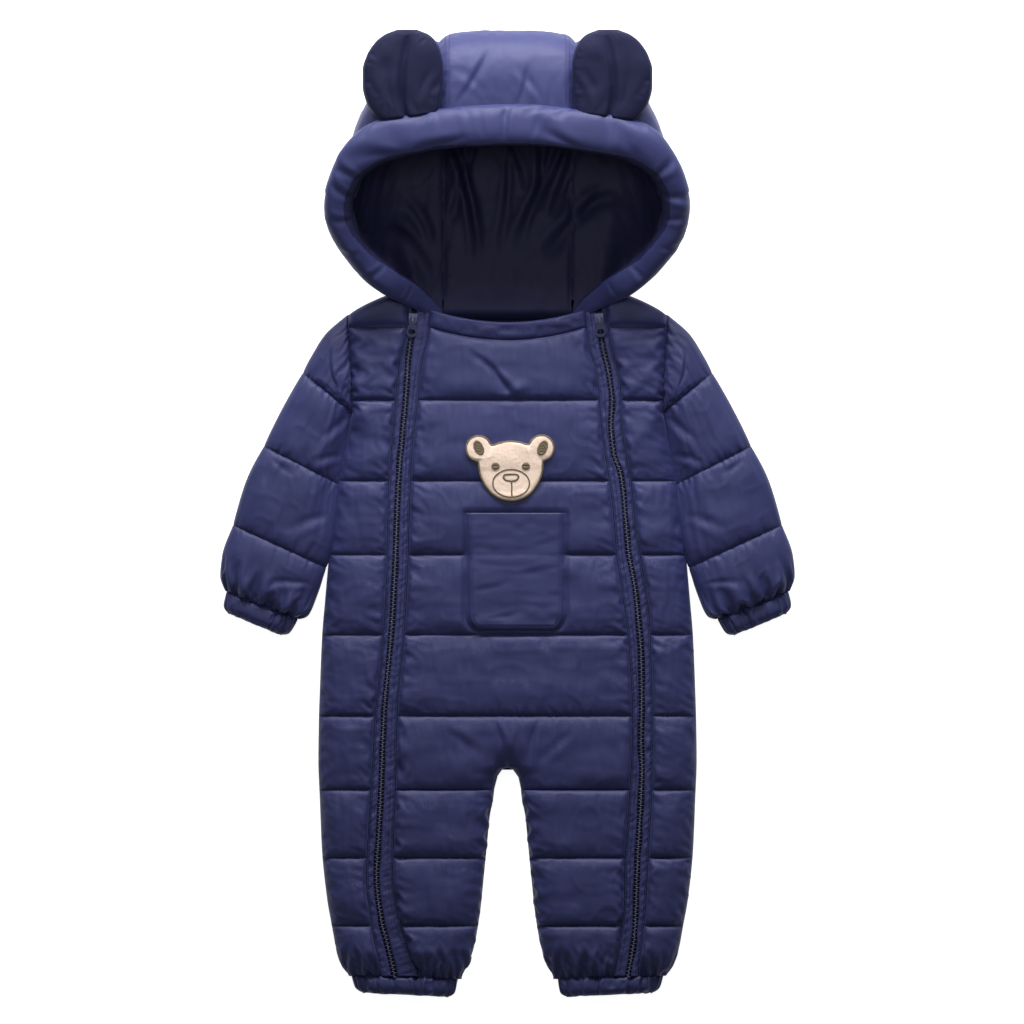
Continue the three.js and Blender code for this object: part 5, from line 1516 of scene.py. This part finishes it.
def hood_section(share, inset, groove):
    """The place across and the curve over a section of the hood's wall. The lining runs on over the neck."""
    pole = HOOD_POLE - HOOD_WALL * inset
    across = min(share * HOOD_POLE, BRIM_SIDE - 0.1)
    closing = math.sqrt(max(0, 1 - share**8))
    skin = (HOOD_WALL * inset + groove * (1 - inset)) * closing
    bulge = max(0, 1 - share**3) ** 0.625
    top_y = mix(HOOD_POLE_Y, float(brim_top_y(across)), min(1, closing * 1.2))
    top_z = float(brim_top_z(across))
    crown_y = mix(HOOD_POLE_Y, HOOD_CROWN_Y, bulge)
    beyond = max(0, (across - HOOD_FLAT_HALF) / (BRIM_SIDE - HOOD_FLAT_HALF))
    floor_z = HOOD_POLE_Z * (1 - math.sqrt(max(0, 1 - beyond**2)))
    wing = float(smooth(92, 116, across))
    neck_y = mix(HOOD_NECK_Y, mix(float(brim_side_y(across)), HOOD_POLE_Y, share**30), wing)
    neck_z = mix(floor_z, float(brim_side_z(across)), wing)
    depth = crown_y - neck_y
    over_back = round(inset) * (1 - wing)
    return share * pole, [
        (top_y - 4 * inset, top_z - 2 - skin),
        (mix(top_y, crown_y, 0.45), top_z + 3 - skin),
        (crown_y - skin, top_z * 0.95 - skin),
        (crown_y + 3 - skin, mix(floor_z, top_z, 0.28) + skin * 0.3),
        (crown_y - 0.12 * depth - skin * 0.3, floor_z + skin),
        (neck_y + 0.6 * depth, floor_z + skin),
        (neck_y + 0.25 * depth, floor_z + skin + 3 * over_back),
        (neck_y - 17 * over_back, neck_z + skin * (1 - wing) + 6.5 * over_back),
    ]


def spline_basis(count, controls=8, degree=3):
    """Rows of weights for a clamped cubic B-spline."""
    spans = controls - degree
    knots = np.clip(np.arange(controls + degree + 1) - degree, 0, spans).astype(float)
    t = np.linspace(0, spans, count)
    t[-1] -= 1e-9
    weight = ((knots[None, :-1] <= t[:, None]) & (t[:, None] < knots[None, 1:])).astype(float)
    for d in range(1, degree + 1):
        columns = []
        for i in range(weight.shape[1] - 1):
            low, high = knots[i + d] - knots[i], knots[i + d + 1] - knots[i + 1]
            a = (t - knots[i]) / low * weight[:, i] if low > 0 else 0 * t
            b = (knots[i + d + 1] - t) / high * weight[:, i + 1] if high > 0 else 0 * t
            columns.append(a + b)
        weight = np.stack(columns, -1)
    return weight


HOOD_POINTS = 150
BASIS = spline_basis(HOOD_POINTS)


def hood_sheet(shares, inset, tucked):
    """One side of the hood's wall: a grid with a column of points for each share."""
    grid = []
    for column, share in enumerate(shares):
        distance = abs(abs(share) - HOOD_STRIP_HALF / HOOD_POLE)
        groove = (HOOD_WALL - HOOD_WALL_AT_SEAM) * max(0, 1 - distance / 0.075) ** 2
        under = 1.6 if tucked and column in (0, len(shares) - 1) else 0
        x, points = hood_section(abs(share), inset * (1 - under / HOOD_WALL), groove + under)
        y, z = (BASIS @ np.array(points)).T
        grid.append(np.column_stack([np.full(len(y), math.copysign(x, share)), y, np.maximum(0, z)]))
    return np.array(grid)


SHELL_CREASES = Creases(901)
for sign in (-1, 1):
    SHELL_CREASES.along(sign * HOOD_STRIP_HALF, np.linspace(0, 150, 40), (1, 0), 8, 20, 2.0, 1.0, spread=36)
SHELL_CREASES.along(np.linspace(-140, 140, 60), 16, (0, 1), 9, 26, 2.4, 1.3, spread=50, sides=(1,))
SHELL_CREASES.table(SHELL_FOLDS, 0.12)
LINING_CREASES = Creases(931)
LINING_CREASES.table(LINING_FOLDS, 0.1)
for sign in (-1, 1):
    LINING_CREASES.along(sign * 60.0, np.linspace(30, 360, 60), (1, 0), 9, 24, 2.4, 1.4, spread=40)


def fold_hood(sheet, lining):
    """Lays folds on one side of the hood's wall and settles it, both in place."""
    travelled = np.array([travel(column) for column in sheet])
    normal = turned_outward(grid_normals(sheet), sheet - HOOD_MIDDLE)
    x = sheet[..., 0]
    if lining:
        relief = 1.2 * noise(x / 22, travelled / 30, 971)
        relief -= LINING_CREASES(x, travelled) + undulation(x * 1.2, travelled, 961)
        relief *= 0.25 + 0.75 * smooth(1, 13, np.abs(np.abs(x) - HOOD_STRIP_HALF))
        relief += 2.2 * bell(np.abs(x) - 60, 2.2)
    else:
        relief = 0.75 * (SHELL_CREASES(x, travelled) + 0.8 * noise(x / 30, travelled / 26, 951))
    edge = smooth(0, 12, travelled) * smooth(0, 14, travelled[:, -1:] - travelled)
    edge = edge * smooth(0, 10, HOOD_POLE * 0.985 - np.abs(x))
    if not lining:
        edge = edge * smooth(0.3, 6, sheet[..., 2])
    sheet += normal * (relief * edge)[..., None]
    if lining:
        shake = 0.8 * noise(x / 12, travelled / 50, 973) + 0.3 * noise(x / 6, travelled / 16, 974)
        across, along = 1.01, 1.008
    else:
        shake = 0.25 * noise(x / 7, travelled / 10, 975)
        from_seam = np.minimum(np.abs(np.abs(x) - HOOD_STRIP_HALF), 30)
        uneven = np.clip(1 + noise(x / 40, travelled / 18, 976), 0, 2)
        across, along = 1.004 + 0.03 * np.exp(-from_seam / 7) * uneven, 1.006
    sheet += normal * (shake * edge)[..., None]
    free = edge
    free[[0, -1]] = 0
    sheet[:] = settle(sheet, free, across, along, steps=110)
    # The hood's lower edge is tucked over the back's, and its lining lies on the back's.
    sheet[:, -1, 1] -= 2.5
    floor_z = np.where(sheet[..., 1] < 207, MID + 1.5, 0) if lining else 0
    sheet[..., 2] = np.maximum(sheet[..., 2], floor_z)


def hood_wall(node, shares, tucked=False):
    """A piece of the hood's wall. Returns its outer side."""
    outer, inner = (hood_sheet(shares, inset, tucked) for inset in (0, 1))
    fold_hood(outer, lining=False)
    fold_hood(inner, lining=True)
    wide, tall = outer.shape[:2]
    count = wide * tall
    shell = grid_faces(wide, tall).tolist()
    lining = grid_faces(wide, tall, first=count)[:, ::-1].tolist()
    rims = []
    for a in range(0, count - tall, tall):
        b, low = a + tall, tall - 1
        rims.append((a, count + a, count + b, b))
        rims.append((a + low, b + low, count + b + low, count + a + low))
    for first, way in ((0, 1), (count - tall, -1)):
        for a in range(first, first + tall - 1):
            rims.append((a, a + 1, count + a + 1, count + a)[::way])
    which = [0] * len(shell) + [1] * len(lining) + [0] * len(rims)
    points = np.concatenate([outer.reshape(-1, 3), inner.reshape(-1, 3)])
    faces, materials = shell + lining + rims, [SHELL, LINING]
    piece = new_object(f"cloth_{node}", points, faces, materials, flat_faces=len(rims), face_materials=which)
    soft(piece, node)
    return outer


SEAM_SHARE = HOOD_STRIP_HALF / HOOD_POLE
strip_shares = np.linspace(-SEAM_SHARE, SEAM_SHARE, 66)
strip_shares = np.concatenate([[-SEAM_SHARE - 0.013], strip_shares, [SEAM_SHARE + 0.013]])
strip = hood_wall("hood_strip", strip_shares, tucked=True)
side_shares = SEAM_SHARE + (0.992 - SEAM_SHARE) * np.sin(np.linspace(0, np.pi / 2, 60)) ** 1.15
hood_wall("hood_side_left", side_shares)
hood_wall("hood_side_right", -side_shares[::-1])

hood_thread = Thread("stitching_hood")
strip_normals = turned_outward(grid_normals(strip), strip - HOOD_MIDDLE)
for column in (4, 6, -5, -7):
    path, normals = strip[column][6:110], strip_normals[column][6:110]
    hood_thread.run(path + normals * 0.15, normals, pitch=3.1, **EDGE_STITCH)
hood_thread.piece()


# Ears


def ear_creases(seed):
    creases = Creases(seed)
    creases.table(EAR_FOLDS, 0.15)
    turn = np.linspace(0, 2 * np.pi, 60)
    cos, sin = np.cos(turn), np.sin(turn)
    creases.along(36 * cos, 412 + 38 * sin, -np.stack([cos, sin], -1), 14, 12, 2.0, 0.6, sides=(1,))
    return creases


def ear(side):
    sign = ZIPS[side].side
    centre_x, half = through(EAR, 1), through(EAR, 2)
    first, last = EAR[0][0], EAR[-1][0]
    y = mix(first, last, np.sin(np.arange(80) / 79 * np.pi / 2) ** 0.9)[:, None]
    up_ear = (y - first) / (last - first)
    turn = turns(110)[None]
    across, sine = np.cos(turn), np.sin(turn)
    facing = np.sign(sine)
    over = across * half(y)
    body = np.sqrt(np.maximum(0, 1 - up_ear**3.2 * 0.93))
    pillow = 1.2 + 8.2 * body * np.sqrt(1 - across**2) ** 0.85
    # The ear is folded along a line that leans towards the hood's middle.
    from_fold = over - 3 + up_ear * 5
    folding = bell(from_fold, 2.4) + 0.35 * bell(over - 1 + up_ear * 4, 12)
    crease = 5.2 * folding * np.clip(1 - (y - first) / 76, 0, 1) ** 0.6
    rise = facing * np.maximum(0, pillow * np.minimum(1, np.abs(sine) * 3) - crease)
    lean = 12 * up_ear + 1
    x, low_y = centre_x(y) + over, y - 0.13 * over * (1 - up_ear)
    soft_part = np.clip(np.abs(sine) * 2.2, 0, 1)
    relief = ear_creases(1000 + sign)(over, low_y) + 0.7 * noise(over / 15, low_y / 15, 1010 + sign)
    P = np.stack([x, low_y, EAR_Z + lean + rise + facing * relief * soft_part], -1)
    shaken = 0.25 * noise(over / 9, low_y / 18, 1020 + sign) * soft_part * smooth(first + 4, first + 20, y)
    P[..., 2] += facing * shaken
    free = soft_part * smooth(first - 1, first + 3, y) * smooth(last, last - 3, y)
    free = free * (1 - 0.85 * bell(from_fold, 3) * smooth(0.85, 0.5, up_ear))
    P = settle(P, free, 1.004 + 0.012 * np.exp(-(low_y - first) / 14), 1.003, wrap=True, steps=110)
    P[..., 0] *= sign
    # The ears take the darker navy, which paints their shade.
    soft(tube_piece(f"cloth_ear_{side}", P, EAR_PAINTED_SHADE), f"ear_{side}")


for side in ZIPS:
    ear(side)


# Sliders and pull tabs: the CAD shapes with their edges rounded


def rounded_copy(node, body):
    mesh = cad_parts[node].data.copy()
    mesh.materials.clear()
    mesh.materials.append(METAL)
    piece = bpy.data.objects.new(f"metal_{node}", mesh)
    bpy.context.scene.collection.objects.link(piece)
    bevel = piece.modifiers.new("rounding", "BEVEL")
    bevel.width = 0.0004
    bevel.segments = 3
    bevel.limit_method = "ANGLE"
    bevel.angle_limit = math.radians(40)
    dress(piece, "slider", node, body=body)


for side in ZIPS:
    rounded_copy(f"zip_slider_{side}", "garment")
    rounded_copy(f"pull_tab_{side}", f"tab_{side}")


# Floor, light and camera

FLOOR = plain_material("pale_floor", (0.5, 0.5, 0.5), 0.9, specular=0.1, grain=0.01, scale=6)
FLOOR.node_tree.nodes["Principled BSDF"].inputs["Emission Color"].default_value = (1, 1, 1, 1)
FLOOR.node_tree.nodes["Principled BSDF"].inputs["Emission Strength"].default_value = 0.92
floor_mesh = bpy.data.meshes.new("floor")
floor_corners = [(-6, -6, -0.0005), (6, -6, -0.0005), (6, 6, -0.0005), (-6, 6, -0.0005)]
floor_mesh.from_pydata(floor_corners, [], [(0, 1, 2, 3)])
floor_mesh.materials.append(FLOOR)
floor = bpy.data.objects.new("floor", floor_mesh)
bpy.context.scene.collection.objects.link(floor)
floor.visible_diffuse = False  # the garment's sides aren't lit from below by the pale floor


def area_light(name, place, target, size, power, spread=180):
    data = bpy.data.lights.new(name, "AREA")
    data.spread = math.radians(spread)
    data.shape = "RECTANGLE"
    data.size, data.size_y = size
    data.energy = power
    lamp = bpy.data.objects.new(name, data)
    bpy.context.scene.collection.objects.link(lamp)
    lamp.location = place
    direction = np.array(target, float) - np.array(place, float)
    distance = np.linalg.norm(direction)
    pitch = math.acos(-direction[2] / distance)
    heading = math.atan2(direction[0], -direction[1])
    lamp.rotation_euler = (pitch, 0, heading + math.pi)


world = bpy.data.worlds.new("studio")
bpy.context.scene.world = world
world.use_nodes = True
world.node_tree.nodes["Background"].inputs["Color"].default_value = (1, 1, 1, 1)
world.node_tree.nodes["Background"].inputs["Strength"].default_value = 0.21
area_light("key", (0.03, 1.6, 0.74), (0, 0.22, 0.03), (1.9, 0.5), 69.5)
area_light("hood", (0, 1.3, 0.55), (0, 0.55, 0.1), (0.3, 0.2), 0.25, spread=24)
area_light("fill", (-0.05, 0.45, 1.5), (0, 0.2, 0.03), (0.5, 0.5), 1.0, spread=64)

PHOTO_MM_PER_PIXEL = 0.94
PHOTO_PIXELS = 1024
SENSOR = 36
CAMERA_HEIGHT = 18.0
camera_data = bpy.data.cameras.new("camera")
camera_data.sensor_width = SENSOR
view_width = PHOTO_PIXELS * PHOTO_MM_PER_PIXEL / 1000
camera_data.lens = SENSOR * (CAMERA_HEIGHT - 0.025) / view_width
camera_data.clip_end = 50
camera = bpy.data.objects.new("camera", camera_data)
bpy.context.scene.collection.objects.link(camera)
camera.location = (0.0042, 0.0023 + SHIFT_Y / 1000, CAMERA_HEIGHT)
bpy.context.scene.camera = camera
bpy.context.scene.view_settings.view_transform = "Standard"
